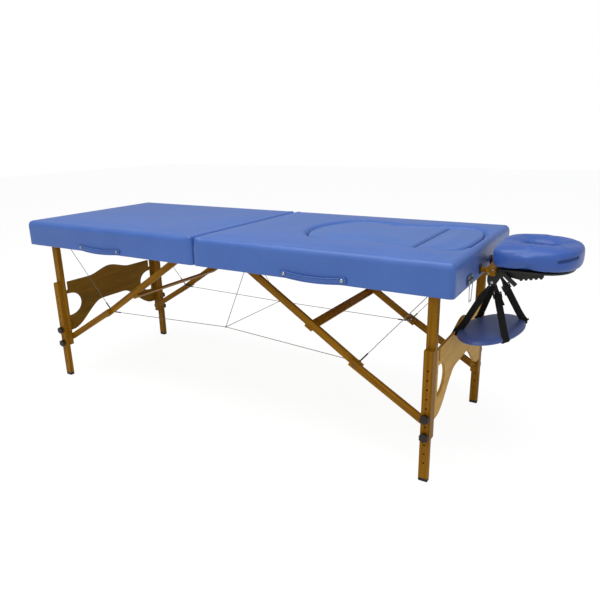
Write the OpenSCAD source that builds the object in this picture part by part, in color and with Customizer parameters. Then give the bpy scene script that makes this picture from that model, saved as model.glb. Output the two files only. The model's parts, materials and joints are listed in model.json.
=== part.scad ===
// Folding massage bed: two padded halves on a pair of hinges, each with a folding leg frame,
// height extensions, folding braces and tension cables, a face cradle and an arm sling.
// Millimetres, Z up, X towards the head end. The floor is at zero height.

/* [Tabletop] */
// Length of the open tabletop
bed_l = 1850; // [1760:10:1960]
// Width of the tabletop
bed_w = 710; // [640:10:800]
// Height of the tabletop above the floor
bed_h = 725; // [715:1:750]
// Thickness of the padding over the deck
pad_t = 49; // [40:1:56]
// Crown of the padding in the middle
pad_crown = 6; // [2:1:12]
// Radius of the pad's corners seen from above
pad_corner_r = 18; // [12:1:60]
// Radius of the pad's upper edge
pad_edge_r = 15; // [8:1:20]
// Thickness of the vinyl skirt round the rails
skirt_t = 3; // [2:0.5:5]
// Gap between the two halves at the centre
seam_gap = 2; // [1:0.5:4]

/* [Wooden frame] */
// Thickness of the side and end rails
rail_t = 20; // [16:1:24]
// Thickness of the rail that carries the centre hinges
hinge_rail_t = 28; // [24:1:34]
// Height of the rails
rail_h = 52; // [50:1:60]
// Thickness of the plywood deck
deck_t = 6; // [4:1:9]
// Length of the blocks that carry the leg pivots
leg_block_l = 44; // [34:1:60]
// Length of the blocks that carry the braces
brace_block_l = 40; // [30:1:50]

/* [Inserts] */
// Length of the belly insert
belly_l = 436; // [380:1:460]
// Length of the breast insert
breast_l = 146; // [120:1:160]
// Greatest width of the inserts
insert_w = 408; // [360:1:440]
// Distance from the head end to the breast insert
insert_edge = 34; // [30:1:50]
// Clearance round and between the inserts
insert_gap = 1.5; // [0.5:0.5:3]
// How far the inserts can be lifted out
insert_lift = 110; // [80:1:150]

/* [Legs] */
// Distance from the end of the table to the leg pivot
leg_inset = 75; // [68:1:100]
// Depth of a leg along the table
leg_w = 30; // [26:1:32]
// Thickness of an upright across the table
leg_t = 20; // [17:1:24]
// Thickness of a leg extension
ext_t = 18; // [15:1:20]
// Length of a leg extension with its foot
ext_l = 440; // [420:1:460]
// Height of the rubber foot
foot_h = 12; // [8:1:20]
// Length of an upright below its lowest knob hole
upright_end = 15; // [12:1:18]
// Pitch of the height holes
hole_pitch = 31; // [28:0.5:31]
// Height of the lowest hole above the floor
hole_first = 67; // [60:1:70]
// Number of height holes
hole_count = 11; // [11:1:12]
// Radius of the height holes
hole_r = 3.3; // [3:0.1:3.8]

/* [Leg panels] */
// Thickness of the panel between two uprights
panel_t = 9; // [6:0.5:9]
// Height of the panel's shoulders above the floor
panel_top = 430; // [410:1:450]
// Rise of the hump in the middle of the upper edge
panel_hump = 27; // [10:1:40]
// Height of the panel's lower tips above the floor
panel_tip = 204; // [200:1:230]
// Rise of the arch in the lower edge
panel_arch = 104; // [70:1:115]
// Height of a grip cut-out
grip_h = 106; // [80:1:115]
// Depth of a grip cut-out
grip_d = 76; // [50:1:85]

/* [Braces] */
// Width of a brace link
link_w = 25; // [20:0.5:25]
// Thickness of a brace link
link_t = 12; // [9:0.5:13]
// Length of a link beyond the knee pivot
knee_lap = 20; // [16:1:20]
// Distance from the centre of the table to the upper brace pivot
brace_inset = 90; // [85:1:110]
// Distance along the upper link from its pivot to the crossbar
crossbar_at = 394; // [370:1:400]
// Width of the crossbar
crossbar_w = 32; // [24:1:36]
// Thickness of the crossbar
crossbar_t = 9; // [6:0.5:9]
// Diameter of the tension cables
cable_d = 2.4; // [1.5:0.1:3]

/* [Knobs and hinges] */
// Outer radius of a height knob
knob_r = 14.5; // [11:0.5:15]
// Length of a height knob
knob_l = 16; // [12:0.5:16]
// Length of one centre hinge
hinge_l = 84; // [60:1:110]
// Distance of the outer hinges from the middle of the table
hinge_y = 236; // [200:1:250]

/* [Face cradle] */
// Length of the face cushion
face_l = 250; // [220:1:280]
// Width of the face cushion
face_w = 300; // [270:1:320]
// Thickness of the face cushion
face_t = 72; // [55:1:80]
// Width of the face opening
face_hole_w = 104; // [80:1:120]
// Length of the face opening
face_hole_l = 118; // [100:1:130]
// Gap between the head end of the table and the face cushion
face_gap = 32; // [28:1:50]
// Distance between the two support posts
post_span = 150; // [120:1:170]
// Radius of a support post
post_r = 8; // [6:0.5:10]

/* [Arm sling] */
// Width of the sling pad across the table
sling_w = 350; // [260:1:360]
// Length of the sling pad along the table
sling_l = 176; // [160:1:190]
// Thickness of the sling pad
sling_t = 24; // [16:1:30]
// Drop from the sling bar to the top of the sling pad
sling_drop = 160; // [140:1:200]
// Turn of the sling pad about the upright line
sling_turn = -11; // [-15:1:15]
// Width of a sling strap
strap_w = 22; // [16:1:26]

/* [Hidden] */

// Rendering detail
round_fn = 48;
small_fn = 24;

// Overrun of a cut past the face that it opens
over = 1;
// Clearance between a soft skin and the wood inside it
skin_gap = 0.3;
// Radial clearance of a pin in its bore
run_gap = 0.06;
// Clearance between faces that slide past each other
slide_gap = 0.3;

// Heights through the tabletop
z_deck_top = bed_h - pad_t;
z_deck_low = z_deck_top - deck_t;
z_rail_low = z_deck_low - rail_h;
hinge_drop = 4;
z_hinge = z_rail_low - hinge_drop;

// Outline of one half, from its inner end to its outer end
half_in = seam_gap / 2;
half_out = bed_l / 2;
frame_in = half_in + skirt_t + skin_gap;
frame_out = half_out - skirt_t - skin_gap;
frame_y = bed_w / 2 - skirt_t - skin_gap;
rail_y = frame_y - rail_t;

// Layers across the table, from the side rail inwards
knob_clear = 2.7;
ext_out_y = rail_y - knob_clear - knob_l;
ext_in_y = ext_out_y - ext_t;
up_out_y = ext_in_y - slide_gap;
up_in_y = up_out_y - leg_t;
washer_t = 1.5;
low_out_y = up_in_y - washer_t;
low_in_y = low_out_y - link_t;
high_out_y = low_in_y - washer_t;
high_in_y = high_out_y - link_t;

// Leg pivot, and the brace pivots beside it
pivot_rise = 13;
x_leg = half_out - leg_inset;
z_leg = z_rail_low + pivot_rise;
stud_holes = [3, 5];
brace_rise = 33;
brace_set = 7;
upper_rise = 22;
fold_rise = 14;
// Amount by which the two links together are longer than the straight line between their pivots
brace_slack = 0.2;

// Brace linkage in the plane of one leg: u runs from the leg pivot to the centre, v runs up
z_up_low = hole_first + stud_holes[0] * hole_pitch - upright_end;
low_pivot = [brace_set, z_up_low + brace_rise - z_leg];
low_pivot_folded = [-low_pivot[1], brace_set];
high_pivot = [x_leg - brace_inset, upper_rise];
pivot_span = norm(high_pivot - low_pivot);
brace_l = pivot_span + brace_slack;
// Finds how far the folded knee lies from the leg pivot, by halving the range
function folded_u(a, b, n) = n == 0 ? (a + b) / 2 :
    let (m = (a + b) / 2, k = [m, fold_rise])
    norm(k - low_pivot_folded) + norm(k - high_pivot) > brace_l ? folded_u(m, b, n - 1) : folded_u(a, m, n - 1);
halving_steps = 40;
knee_folded = [folded_u(low_pivot_folded[0] - brace_l, low_pivot_folded[0], halving_steps), fold_rise];
low_link_l = norm(knee_folded - low_pivot_folded);
high_link_l = norm(knee_folded - high_pivot);
// The open knee lies a little below the straight line, where its two links meet
knee_share = (low_link_l * low_link_l - high_link_l * high_link_l + pivot_span * pivot_span)
    / (2 * pivot_span * pivot_span);
knee_sag = sqrt(low_link_l * low_link_l - knee_share * knee_share * pivot_span * pivot_span);
link_way = (high_pivot - low_pivot) / pivot_span;
knee = low_pivot + link_way * knee_share * pivot_span + [link_way[1], -link_way[0]] * knee_sag;
function along(a, b) = atan2(b[1] - a[1], b[0] - a[0]);
function half_turn(a) = a > 180 ? a - 360 : a < -180 ? a + 360 : a;
// Turns of the upper link about its block and of the lower link about the leg, as the leg folds
high_turn = half_turn(along(high_pivot, knee_folded) - along(high_pivot, knee));
low_turn = half_turn(along(low_pivot_folded, knee_folded) - along(low_pivot, knee)) - 90;
echo(turns = [high_turn, low_turn], knee = knee, knee_folded = knee_folded, links = [high_link_l, low_link_l]);

// Hardware
bolt_r = 4;
bolt_head_r = 7;
bolt_head_h = 4;
washer_r = 8;
head_clear = 0.3;
head_side_gap = 2;
knuckle_r = 4;
leaf_t = 2;
leaf_w = 24;
pin_r = 2.2;
pin_head_r = 3.2;
pin_head_h = 1.5;
knuckle_gap = 0.3;
knuckle_count = 5;

// Tension cables
junction_y = 193;
junction_drop = 276;
anchor_post_l = 12;
cable_in_y = high_in_y - bolt_head_h - anchor_post_l / 2;
thimble_r = 5;
sleeve_d = 5;
sleeve_l = 34;
sleeve_at = 14;
bead_r = 4;
crimp_r = 1.8;
// Sides of a cable, its sleeves and its beads
cable_fn = 8;

// Head end
post_rise = 26;
z_post = z_rail_low + post_rise;
post_inside = 52;
base_x = half_out + 20;
base_l = 28;
base_h = 24;
// Height of the cross block's lower face above the foot of the rails
base_rise = 12;
cheek_inset = 3;
cheek_t = 8;
cheek_y = post_span / 2 - post_r - cheek_inset;
arm_t = 8;
arm_gap = 1;
arm_y = cheek_y - cheek_t - arm_gap;
tilt_x = half_out + 63;
tilt_z = z_rail_low + 22;
tilt_pin_r = 4;
hub_r = 14;
board_t = 6;
board_z = z_rail_low + 38;
board_rim = 20;
face_x = half_out + face_gap;
face_z = board_z + board_t;
arm_l = 118;
arm_end_h = 24;
tooth_pitch = 14;
tooth_r = 5;
tooth_count = 5;
sling_x = half_out + 35;
sling_bar_r = 4;
sling_bar_z = z_rail_low - 16;
sling_z = sling_bar_z - sling_drop;
strap_t = 2.4;
strap_y = 42;
strap_top_x = 6;

// Middle of the whole object along X, so that the origin is under the middle of its outline
reach = face_x + face_l;
mid_x = (reach - half_out) / 2;
echo(mid_x = mid_x, reach = reach, z = [z_deck_top, z_deck_low, z_rail_low, z_hinge, z_leg]);
echo(y = [rail_y, ext_out_y, up_out_y, up_in_y, low_in_y, high_out_y, high_in_y, cable_in_y]);

// Puts table coordinates, counted from the centre hinge, into the object's own frame
module placed() {
    translate([-mid_x, 0, 0]) children();
}

// Draws a head half piece at the head, or its mirror image at the foot
module half(head) {
    placed() if (head) children(); else mirror([1, 0, 0]) children();
}

// Draws a piece on the far side, its mirror image on the near side, or both
module side(far) {
    if (far) children(); else mirror([0, 1, 0]) children();
}
module both_sides() {
    children();
    mirror([0, 1, 0]) children();
}

// Round bar or bore across the table, between two y values
module across(x, z, y0, y1, r, fn = round_fn) {
    translate([x, min(y0, y1), z]) rotate([-90, 0, 0]) cylinder(h = abs(y1 - y0), r = r, $fn = fn);
}

// Straight round rod between two points
module rod(a, b, d, fn = 16) {
    v = b - a;
    translate(a) rotate([0, acos(v[2] / norm(v)), atan2(v[1], v[0])]) cylinder(h = norm(v), d = d, $fn = fn);
}

// Point of the leg plane, given as u and v, in table coordinates
function in_plane(p) = [x_leg - p[0], z_leg + p[1]];

// Bar in the plane of the leg from a to b, from y0 to y1, rounded at a and lapped square past b
module link_bar(a, b, y0, y1, lap) {
    pa = in_plane(a);
    pb = in_plane(b);
    translate([pa[0], y0, pa[1]]) rotate([0, -along(pa, pb), 0]) {
        translate([0, 0, -link_w / 2]) cube([norm(pb - pa) + lap, y1 - y0, link_w]);
        rotate([-90, 0, 0]) cylinder(h = y1 - y0, r = link_w / 2, $fn = round_fn);
    }
}

// Rounded rectangle of points, n per corner, half sizes a and b, corner radius r
function round_rect(a, b, r, n) = [for (q = [0:3]) for (i = [0:n - 1])
    let (t = 90 * q + 90 * i / (n - 1), sx = q == 0 || q == 3 ? 1 : -1, sy = q < 2 ? 1 : -1)
    [sx * (a - r) + r * cos(t), sy * (b - r) + r * sin(t)]];

// Closed skin through rings of equal length, with a point at either end
module skin(rings, first_mid, last_mid) {
    n = len(rings[0]);
    m = len(rings);
    points = concat([for (ring = rings) each ring], [first_mid, last_mid]);
    walls = [for (j = [0:m - 2]) for (i = [0:n - 1]) let (k = (i + 1) % n)
        each [[j * n + i, j * n + k, (j + 1) * n + k], [j * n + i, (j + 1) * n + k, (j + 1) * n + i]]];
    first = [for (i = [0:n - 1]) [m * n, (i + 1) % n, i]];
    last = [for (i = [0:n - 1]) [m * n + 1, (m - 1) * n + i, (m - 1) * n + (i + 1) % n]];
    polyhedron(points = points, faces = concat(walls, first, last), convexity = 6);
}
function lift(ring, z) = [for (p = ring) [p[0], p[1], z]];

// Outline moved outwards by d along its normals, for a loop that runs anticlockwise
function grown(ring, d) = let (n = len(ring)) [for (i = [0:n - 1])
    let (t = ring[(i + 1) % n] - ring[(i + n - 1) % n]) ring[i] + d * [t[1], -t[0]] / norm(t)];
function scaled(ring, mid, k) = [for (p = ring) mid + (p - mid) * k];

// Smooth curve through a list of points, with steps pieces between neighbours
function spline_at(a, b, c, d, t) = (2 * b + (c - a) * t + (2 * a - 5 * b + 4 * c - d) * t * t
    + (3 * b - a - 3 * c + d) * t * t * t) / 2;
function spline(pts, steps) = let (n = len(pts)) concat([for (i = [0:n - 2]) for (s = [0:steps - 1])
    spline_at(pts[max(i - 1, 0)], pts[i], pts[i + 1], pts[min(i + 2, n - 1)], s / steps)], [pts[n - 1]]);

// Wooden frame

// Slab with rounded corners that follows the outline of the frame of one half
frame_r = pad_corner_r + skirt_t;
module frame_slab(z, h) {
    translate([0, 0, z]) linear_extrude(height = h) {
        translate([frame_in + frame_r, -frame_y]) square([frame_out - frame_in - 2 * frame_r, 2 * frame_y]);
        translate([frame_in, frame_r - frame_y]) square([frame_out - frame_in, 2 * (frame_y - frame_r)]);
        for (x = [frame_in + frame_r, frame_out - frame_r]) for (y = [frame_r - frame_y, frame_y - frame_r])
            translate([x, y]) circle(r = frame_r, $fn = round_fn);
    }
}

// Post positions across the table
post_y = post_span / 2;
module post_holes(r) {
    for (y = [-post_y, post_y])
        translate([frame_out - rail_t - over, y, z_post]) rotate([0, 90, 0])
            cylinder(h = rail_t + skirt_t + skin_gap + 2 * over, r = r, $fn = round_fn);
}

module rails(head) {
    inner_x = frame_in + hinge_rail_t;
    outer_x = frame_out - rail_t;
    difference() {
        intersection() {
            frame_slab(z_rail_low, rail_h);
            union() {
                both_sides() translate([frame_in, rail_y, z_rail_low])
                    cube([frame_out - frame_in, rail_t, rail_h]);
                translate([frame_in, -rail_y, z_rail_low]) cube([hinge_rail_t, 2 * rail_y, rail_h]);
                translate([outer_x, -rail_y, z_rail_low]) cube([rail_t, 2 * rail_y, rail_h]);
            }
        }
        if (head) post_holes(post_r + run_gap);
    }
}
module head_rails() { color("#B98A4B") half(true) rails(true); }
module foot_rails() { color("#B98A4B") half(false) rails(false); }

module head_deck() { color("#C9A46A") half(true) frame_slab(z_deck_low, deck_t); }
module foot_deck() { color("#C9A46A") half(false) frame_slab(z_deck_low, deck_t); }

// Blocks inside the side rails that carry the leg pivots, and blocks under the deck for the braces
block_rise = 1;
block_low = z_rail_low + block_rise;
block_h = z_deck_low - block_low;
brace_block_y = ext_in_y - bolt_head_h - head_side_gap;
module blocks() {
    both_sides() {
        difference() {
            translate([x_leg - leg_block_l / 2, up_out_y + slide_gap, block_low])
                cube([leg_block_l, rail_y - up_out_y - slide_gap, block_h]);
            across(x_leg, z_leg, up_out_y - over, rail_y + over, bolt_r + run_gap);
        }
        difference() {
            translate([brace_inset - brace_block_l / 2, low_in_y, block_low])
                cube([brace_block_l, brace_block_y - low_in_y, block_h]);
            across(brace_inset, z_leg + upper_rise, low_in_y - over, brace_block_y + over, bolt_r + run_gap);
        }
    }
}
module head_blocks() { color("#B98A4B") half(true) blocks(); }
module foot_blocks() { color("#B98A4B") half(false) blocks(); }

// Padding

// Outline of a pad, inset from its edge, with the straight sides drawn in between the corners
pad_mid = (half_in + half_out) / 2;
corner_steps = 6;
side_steps = 4;
function side_run(a, b, draw) = let (v = b - a, n = [-v[1], v[0]] / norm(v)) [for (i = [1:side_steps - 1])
    a + v * i / side_steps + n * draw * sin(180 * i / side_steps)];
function pad_ring(inset, z, draw = 0) = let (
    a = (half_out - half_in) / 2 - inset, b = bed_w / 2 - inset, r = max(pad_corner_r - inset, over),
    loop = round_rect(a, b, r, corner_steps), n = len(loop),
    full = [for (q = [0:3]) each concat([for (i = [0:corner_steps - 1]) loop[q * corner_steps + i]],
        side_run(loop[q * corner_steps + corner_steps - 1], loop[((q + 1) * corner_steps) % n], draw))])
    [for (p = full) [pad_mid + p[0], p[1], z]];

z_pad_edge = bed_h - pad_crown;
pad_draw = 3;
pad_hem = 2;
crown_insets = [70, 170];
crown_shares = [0.6, 0.9];
edge_angles = [25, 50, 72, 90];
module pad() {
    rings = concat(
        [pad_ring(skirt_t, z_deck_top), pad_ring(skirt_t, z_rail_low), pad_ring(pad_hem / 2, z_rail_low),
            pad_ring(0, z_rail_low + pad_hem), pad_ring(0, z_deck_top),
            pad_ring(0, (z_deck_top + z_pad_edge - pad_edge_r) / 2, pad_draw)],
        [for (a = concat([0], edge_angles))
            pad_ring(pad_edge_r * (1 - cos(a)), z_pad_edge - pad_edge_r * (1 - sin(a)))],
        [for (i = [0:len(crown_insets) - 1]) pad_ring(crown_insets[i], z_pad_edge + pad_crown * crown_shares[i])]);
    skin(rings, [pad_mid, 0, z_deck_top], [pad_mid, 0, bed_h]);
}

// Outlines of the two inserts, from shares of their length and of their half width
belly_shares = [[0.975, 0.985], [0.81, 0.87], [0.64, 0.8], [0.45, 0.93], [0.27, 0.95], [0.12, 0.78],
    [0.03, 0.44], [0, 0]];
breast_shares = [[0.06, 0.985], [0.36, 1], [0.66, 0.98], [0.87, 0.83], [0.98, 0.46], [1, 0]];
corner_share = 0.94;
spline_steps = 3;
breast_x = half_out - insert_edge - breast_l;
belly_x = breast_x - insert_gap - belly_l;
function both_ways(shares) = concat(shares, [for (i = [len(shares) - 2:-1:0]) [shares[i][0], -shares[i][1]]]);
function insert_outline(shares, flat_share, x, l) = let (
    loop = spline(both_ways(shares), spline_steps),
    all = concat([[flat_share, corner_share]], loop, [[flat_share, -corner_share]]))
    [for (p = all) [x + p[0] * l, p[1] * insert_w / 2]];
belly_loop = insert_outline(belly_shares, 1, belly_x, belly_l);
breast_raw = insert_outline(breast_shares, 0, breast_x, breast_l);
breast_ring = [for (i = [len(breast_raw) - 1:-1:0]) breast_raw[i]];

insert_round = 6;
insert_tuck = 1;
inner_crown_share = 0.55;
module insert(ring) {
    x0 = min([for (p = ring) p[0]]);
    x1 = max([for (p = ring) p[0]]);
    mid = [(x0 + x1) / 2, 0];
    low = z_deck_top + slide_gap;
    top = bed_h - pad_crown * (1 - crown_shares[0]);
    rings = concat([lift(grown(ring, -insert_tuck), low), lift(ring, low + pad_hem)],
        [for (a = [0, edge_angles[1], edge_angles[3]])
            lift(grown(ring, -insert_round * (1 - cos(a))), top - insert_round * (1 - sin(a)))],
        [lift(scaled(ring, mid, inner_crown_share), top + insert_tuck)]);
    skin(rings, [mid[0], 0, low], [mid[0], 0, top + 2 * insert_tuck]);
}
module belly_insert() { color("#3F66B5") placed() insert(belly_loop); }
module breast_insert() { color("#3F66B5") placed() insert(breast_ring); }

module head_pad() {
    color("#3F66B5") half(true) difference() {
        pad();
        translate([0, 0, z_deck_top - over]) linear_extrude(height = pad_t + 2 * over) {
            polygon(grown(belly_loop, insert_gap));
            polygon(grown(breast_ring, insert_gap));
        }
        post_holes(post_r + skin_gap + over);
    }
}
module foot_pad() { color("#3F66B5") half(false) pad(); }

// Centre hinges
knuckle_l = (hinge_l - knuckle_gap * (knuckle_count - 1)) / knuckle_count;
hinge_places = [-hinge_y, 0, hinge_y];
module leaf(y, knuckles) {
    difference() {
        union() {
            translate([frame_in, y - hinge_l / 2, z_rail_low - leaf_t]) cube([leaf_w, hinge_l, leaf_t]);
            for (k = knuckles) {
                start = y - hinge_l / 2 + k * (knuckle_l + knuckle_gap);
                across(0, z_hinge, start, start + knuckle_l, knuckle_r, small_fn);
                translate([0, start, z_rail_low - leaf_t]) cube([frame_in + over, knuckle_l, leaf_t]);
            }
        }
        across(0, z_hinge, y - hinge_l, y + hinge_l, pin_r + run_gap, small_fn);
    }
}
module head_hinge_leaves() {
    color("#B8BABD") placed() for (y = hinge_places) leaf(y, y == 0 ? [0, 4] : [0, 2, 4]);
}
module foot_hinge_leaves() {
    color("#B8BABD") half(false) for (y = hinge_places) leaf(y, [1, 3]);
}
module hinge_pins() {
    color("#C9CBCE") placed() for (y = hinge_places) {
        across(0, z_hinge, y - hinge_l / 2 - slide_gap, y + hinge_l / 2 + slide_gap, pin_r, small_fn);
        for (s = [-1, 1])
            across(0, z_hinge, y + s * (hinge_l / 2 + slide_gap), y + s * (hinge_l / 2 + slide_gap + pin_head_h),
                pin_head_r, small_fn);
    }
}

// Leg frames
module upright() {
    difference() {
        union() {
            translate([x_leg - leg_w / 2, up_in_y, z_up_low]) cube([leg_w, leg_t, z_leg - z_up_low]);
            across(x_leg, z_leg, up_in_y, up_out_y, leg_w / 2);
        }
        across(x_leg, z_leg, up_in_y - over, up_out_y + over, bolt_r + run_gap);
        low = in_plane(low_pivot);
        across(low[0], low[1], up_in_y - over, up_out_y + over, bolt_r + run_gap);
        across(low[0], low[1], up_out_y - bolt_head_h - head_clear, up_out_y + over, bolt_head_r + head_clear);
        for (k = stud_holes)
            across(x_leg, hole_first + k * hole_pitch, up_out_y - leg_t / 2, up_out_y + over, hole_r, small_fn);
    }
}
module head_uprights() { color("#9A6A2C") half(true) both_sides() upright(); }
module foot_uprights() { color("#9A6A2C") half(false) both_sides() upright(); }

// Panel between the uprights: a hump in its upper edge, an arch in its lower edge, two grips
hump_share = 0.46;
arch_in_share = 0.24;
arch_out_share = 0.9;
edge_points = 32;
function smooth(t) = let (s = min(max(t, 0), 1)) s * s * (3 - 2 * s);
function panel_high(y) = panel_top + panel_hump * smooth(1 - abs(y) / (up_in_y * hump_share));
function panel_low(y) = panel_tip + panel_arch
    * smooth((up_in_y * arch_out_share - abs(y)) / (up_in_y * (arch_out_share - arch_in_share)));
grip_edge = 16;
grip_points = 16;
grip_power = 0.8;
grip_z = panel_tip + panel_arch + grip_edge;
module grip() {
    polygon([for (i = [0:grip_points]) let (t = -90 + 180 * i / grip_points)
        [up_in_y - grip_edge - grip_d * pow(max(cos(t), 0), grip_power), grip_z + grip_h / 2 * sin(t)]]);
}
// Slots in the upper edge, which the upper links pass as the leg folds
slot_clear = 1.5;
slot_reach = 233;
module brace_slot() {
    r = link_t / 2 + slot_clear;
    translate([(high_out_y + high_in_y) / 2, z_leg - slot_reach]) {
        circle(r = r, $fn = small_fn);
        translate([-r, 0]) square([2 * r, slot_reach]);
    }
}
module leg_panel() {
    ys = [for (i = [0:edge_points]) up_in_y * (2 * i / edge_points - 1)];
    translate([x_leg + leg_w / 2, 0, 0]) rotate([90, 0, -90]) mirror([1, 0, 0]) linear_extrude(height = panel_t)
        difference() {
            polygon(concat([for (y = ys) [y, panel_low(y)]],
                [for (i = [edge_points:-1:0]) [ys[i], panel_high(ys[i])]]));
            grip();
            mirror([1, 0]) grip();
            brace_slot();
            mirror([1, 0]) brace_slot();
        }
}
module head_leg_panel() { color("#B08A48") half(true) leg_panel(); }
module foot_leg_panel() { color("#B08A48") half(false) leg_panel(); }

module extension() {
    difference() {
        translate([x_leg - leg_w / 2, ext_in_y, foot_h]) cube([leg_w, ext_t, ext_l - foot_h]);
        for (i = [0:hole_count - 1])
            across(x_leg, hole_first + i * hole_pitch, ext_in_y - over, ext_out_y + over, hole_r, small_fn);
    }
}
module head_near_extension() { color("#9A6A2C") half(true) side(false) extension(); }
module head_far_extension() { color("#9A6A2C") half(true) side(true) extension(); }
module foot_near_extension() { color("#9A6A2C") half(false) side(false) extension(); }
module foot_far_extension() { color("#9A6A2C") half(false) side(true) extension(); }

// Rubber foot: a block with its lower edges bevelled
foot_bevel = 2;
module rubber() {
    hull() {
        translate([x_leg - leg_w / 2, ext_in_y, foot_bevel]) cube([leg_w, ext_t, foot_h - foot_bevel]);
        translate([x_leg - leg_w / 2 + foot_bevel, ext_in_y + foot_bevel, 0])
            cube([leg_w - 2 * foot_bevel, ext_t - 2 * foot_bevel, foot_h / 2]);
    }
}
module head_near_rubber() { color("#2A2320") half(true) side(false) rubber(); }
module head_far_rubber() { color("#2A2320") half(true) side(true) rubber(); }
module foot_near_rubber() { color("#2A2320") half(false) side(false) rubber(); }
module foot_far_rubber() { color("#2A2320") half(false) side(true) rubber(); }

// Height knob with its threaded stud, which passes through the extension
knob_collar_share = 0.22;
lobe_count = 6;
lobe_share = 0.3;
module knob(k) {
    z = hole_first + k * hole_pitch;
    collar = knob_l * knob_collar_share;
    across(x_leg, z, ext_in_y + slide_gap / 2, ext_out_y + slide_gap, hole_r - 2 * run_gap, small_fn);
    across(x_leg, z, ext_out_y + slide_gap, ext_out_y + collar, knob_r / 2);
    difference() {
        across(x_leg, z, ext_out_y + collar, ext_out_y + knob_l, knob_r);
        for (i = [0:lobe_count - 1])
            let (a = 360 * i / lobe_count)
                across(x_leg + knob_r * (1 + lobe_share / 2) * cos(a), z + knob_r * (1 + lobe_share / 2) * sin(a),
                    ext_out_y + collar - over, ext_out_y + knob_l + over, knob_r * lobe_share, small_fn);
    }
}
module head_near_lower_knob() { color("#1B1A18") half(true) side(false) knob(stud_holes[0]); }
module head_near_upper_knob() { color("#1B1A18") half(true) side(false) knob(stud_holes[1]); }
module head_far_lower_knob() { color("#1B1A18") half(true) side(true) knob(stud_holes[0]); }
module head_far_upper_knob() { color("#1B1A18") half(true) side(true) knob(stud_holes[1]); }
module foot_near_lower_knob() { color("#1B1A18") half(false) side(false) knob(stud_holes[0]); }
module foot_near_upper_knob() { color("#1B1A18") half(false) side(false) knob(stud_holes[1]); }
module foot_far_lower_knob() { color("#1B1A18") half(false) side(true) knob(stud_holes[0]); }
module foot_far_upper_knob() { color("#1B1A18") half(false) side(true) knob(stud_holes[1]); }

// Braces
module upper_brace() {
    q = in_plane(high_pivot);
    k = in_plane(knee);
    difference() {
        link_bar(high_pivot, knee, high_in_y, high_out_y, knee_lap);
        across(q[0], q[1], high_in_y - over, high_out_y + over, bolt_r + run_gap);
        across(k[0], k[1], high_in_y - over, high_out_y + over, bolt_r + run_gap);
    }
}
module lower_brace() {
    r = in_plane(low_pivot);
    k = in_plane(knee);
    difference() {
        link_bar(low_pivot, knee, low_in_y, low_out_y, knee_lap);
        across(r[0], r[1], low_in_y - over, low_out_y + over, bolt_r + run_gap);
        across(r[0], r[1], low_in_y - over, low_in_y + bolt_head_h + head_clear, bolt_head_r + head_clear);
        across(k[0], k[1], low_in_y - over, low_out_y + over, bolt_r + run_gap);
        across(k[0], k[1], low_out_y - bolt_head_h - head_clear, low_out_y + over, bolt_head_r + head_clear);
    }
}
module crossbar() {
    q = in_plane(high_pivot);
    k = in_plane(knee);
    translate([q[0], 0, q[1]]) rotate([0, -along(q, k), 0])
        translate([crossbar_at - crossbar_w / 2, -high_out_y, -link_w / 2 - crossbar_t])
            cube([crossbar_w, 2 * high_out_y, crossbar_t]);
}
module head_upper_braces() { color("#9A6A2C") half(true) both_sides() upper_brace(); }
module foot_upper_braces() { color("#9A6A2C") half(false) both_sides() upper_brace(); }
module head_lower_braces() { color("#9A6A2C") half(true) both_sides() lower_brace(); }
module foot_lower_braces() { color("#9A6A2C") half(false) both_sides() lower_brace(); }
module head_crossbar() { color("#7A5324") half(true) crossbar(); }
module foot_crossbar() { color("#7A5324") half(false) crossbar(); }

// Leg pivot bolt and lower brace bolt, both fixed in the upright
module leg_bolts() {
    low = in_plane(low_pivot);
    both_sides() {
        across(x_leg, z_leg, up_in_y - slide_gap, rail_y - slide_gap, bolt_r);
        across(x_leg, z_leg, up_in_y - bolt_head_h, up_in_y, bolt_head_r);
        across(low[0], low[1], low_in_y + bolt_head_h, up_out_y - bolt_head_h, bolt_r);
        across(low[0], low[1], low_in_y, low_in_y + bolt_head_h, bolt_head_r);
        across(low[0], low[1], up_out_y - bolt_head_h, up_out_y, bolt_head_r);
        across(low[0], low[1], low_out_y + run_gap, up_in_y, washer_r);
    }
}
module head_leg_bolts() { color("#B8BABD") half(true) leg_bolts(); }
module foot_leg_bolts() { color("#B8BABD") half(false) leg_bolts(); }

// Outer half of the knee bolt, with its head sunk in the lower link
module knee_bolts() {
    k = in_plane(knee);
    both_sides() {
        across(k[0], k[1], low_in_y, low_out_y - bolt_head_h, bolt_r);
        across(k[0], k[1], low_out_y - bolt_head_h, low_out_y, bolt_head_r);
        across(k[0], k[1], high_out_y + slide_gap, low_in_y, washer_r);
    }
}
module head_knee_bolts() { color("#B8BABD") half(true) knee_bolts(); }
module foot_knee_bolts() { color("#B8BABD") half(false) knee_bolts(); }

// Upper brace bolt, and the inner half of the knee bolt with the post that holds the cables
module brace_pins() {
    q = in_plane(high_pivot);
    k = in_plane(knee);
    both_sides() {
        across(q[0], q[1], high_in_y - bolt_head_h, high_in_y, bolt_head_r);
        across(q[0], q[1], high_in_y, brace_block_y + slide_gap, bolt_r);
        across(q[0], q[1], brace_block_y + slide_gap, brace_block_y + bolt_head_h, bolt_head_r);
        across(q[0], q[1], high_out_y, low_in_y - run_gap, washer_r);
        across(k[0], k[1], high_in_y, high_out_y, bolt_r);
        across(k[0], k[1], high_in_y - bolt_head_h, high_in_y, bolt_head_r);
        across(k[0], k[1], high_in_y - bolt_head_h - anchor_post_l, high_in_y - bolt_head_h, bolt_r / 2);
        across(k[0], k[1], high_in_y - bolt_head_h - anchor_post_l - pin_head_h,
            high_in_y - bolt_head_h - anchor_post_l, bolt_r);
    }
}
module head_brace_pins() { color("#B8BABD") half(true) brace_pins(); }
module foot_brace_pins() { color("#B8BABD") half(false) brace_pins(); }

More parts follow.
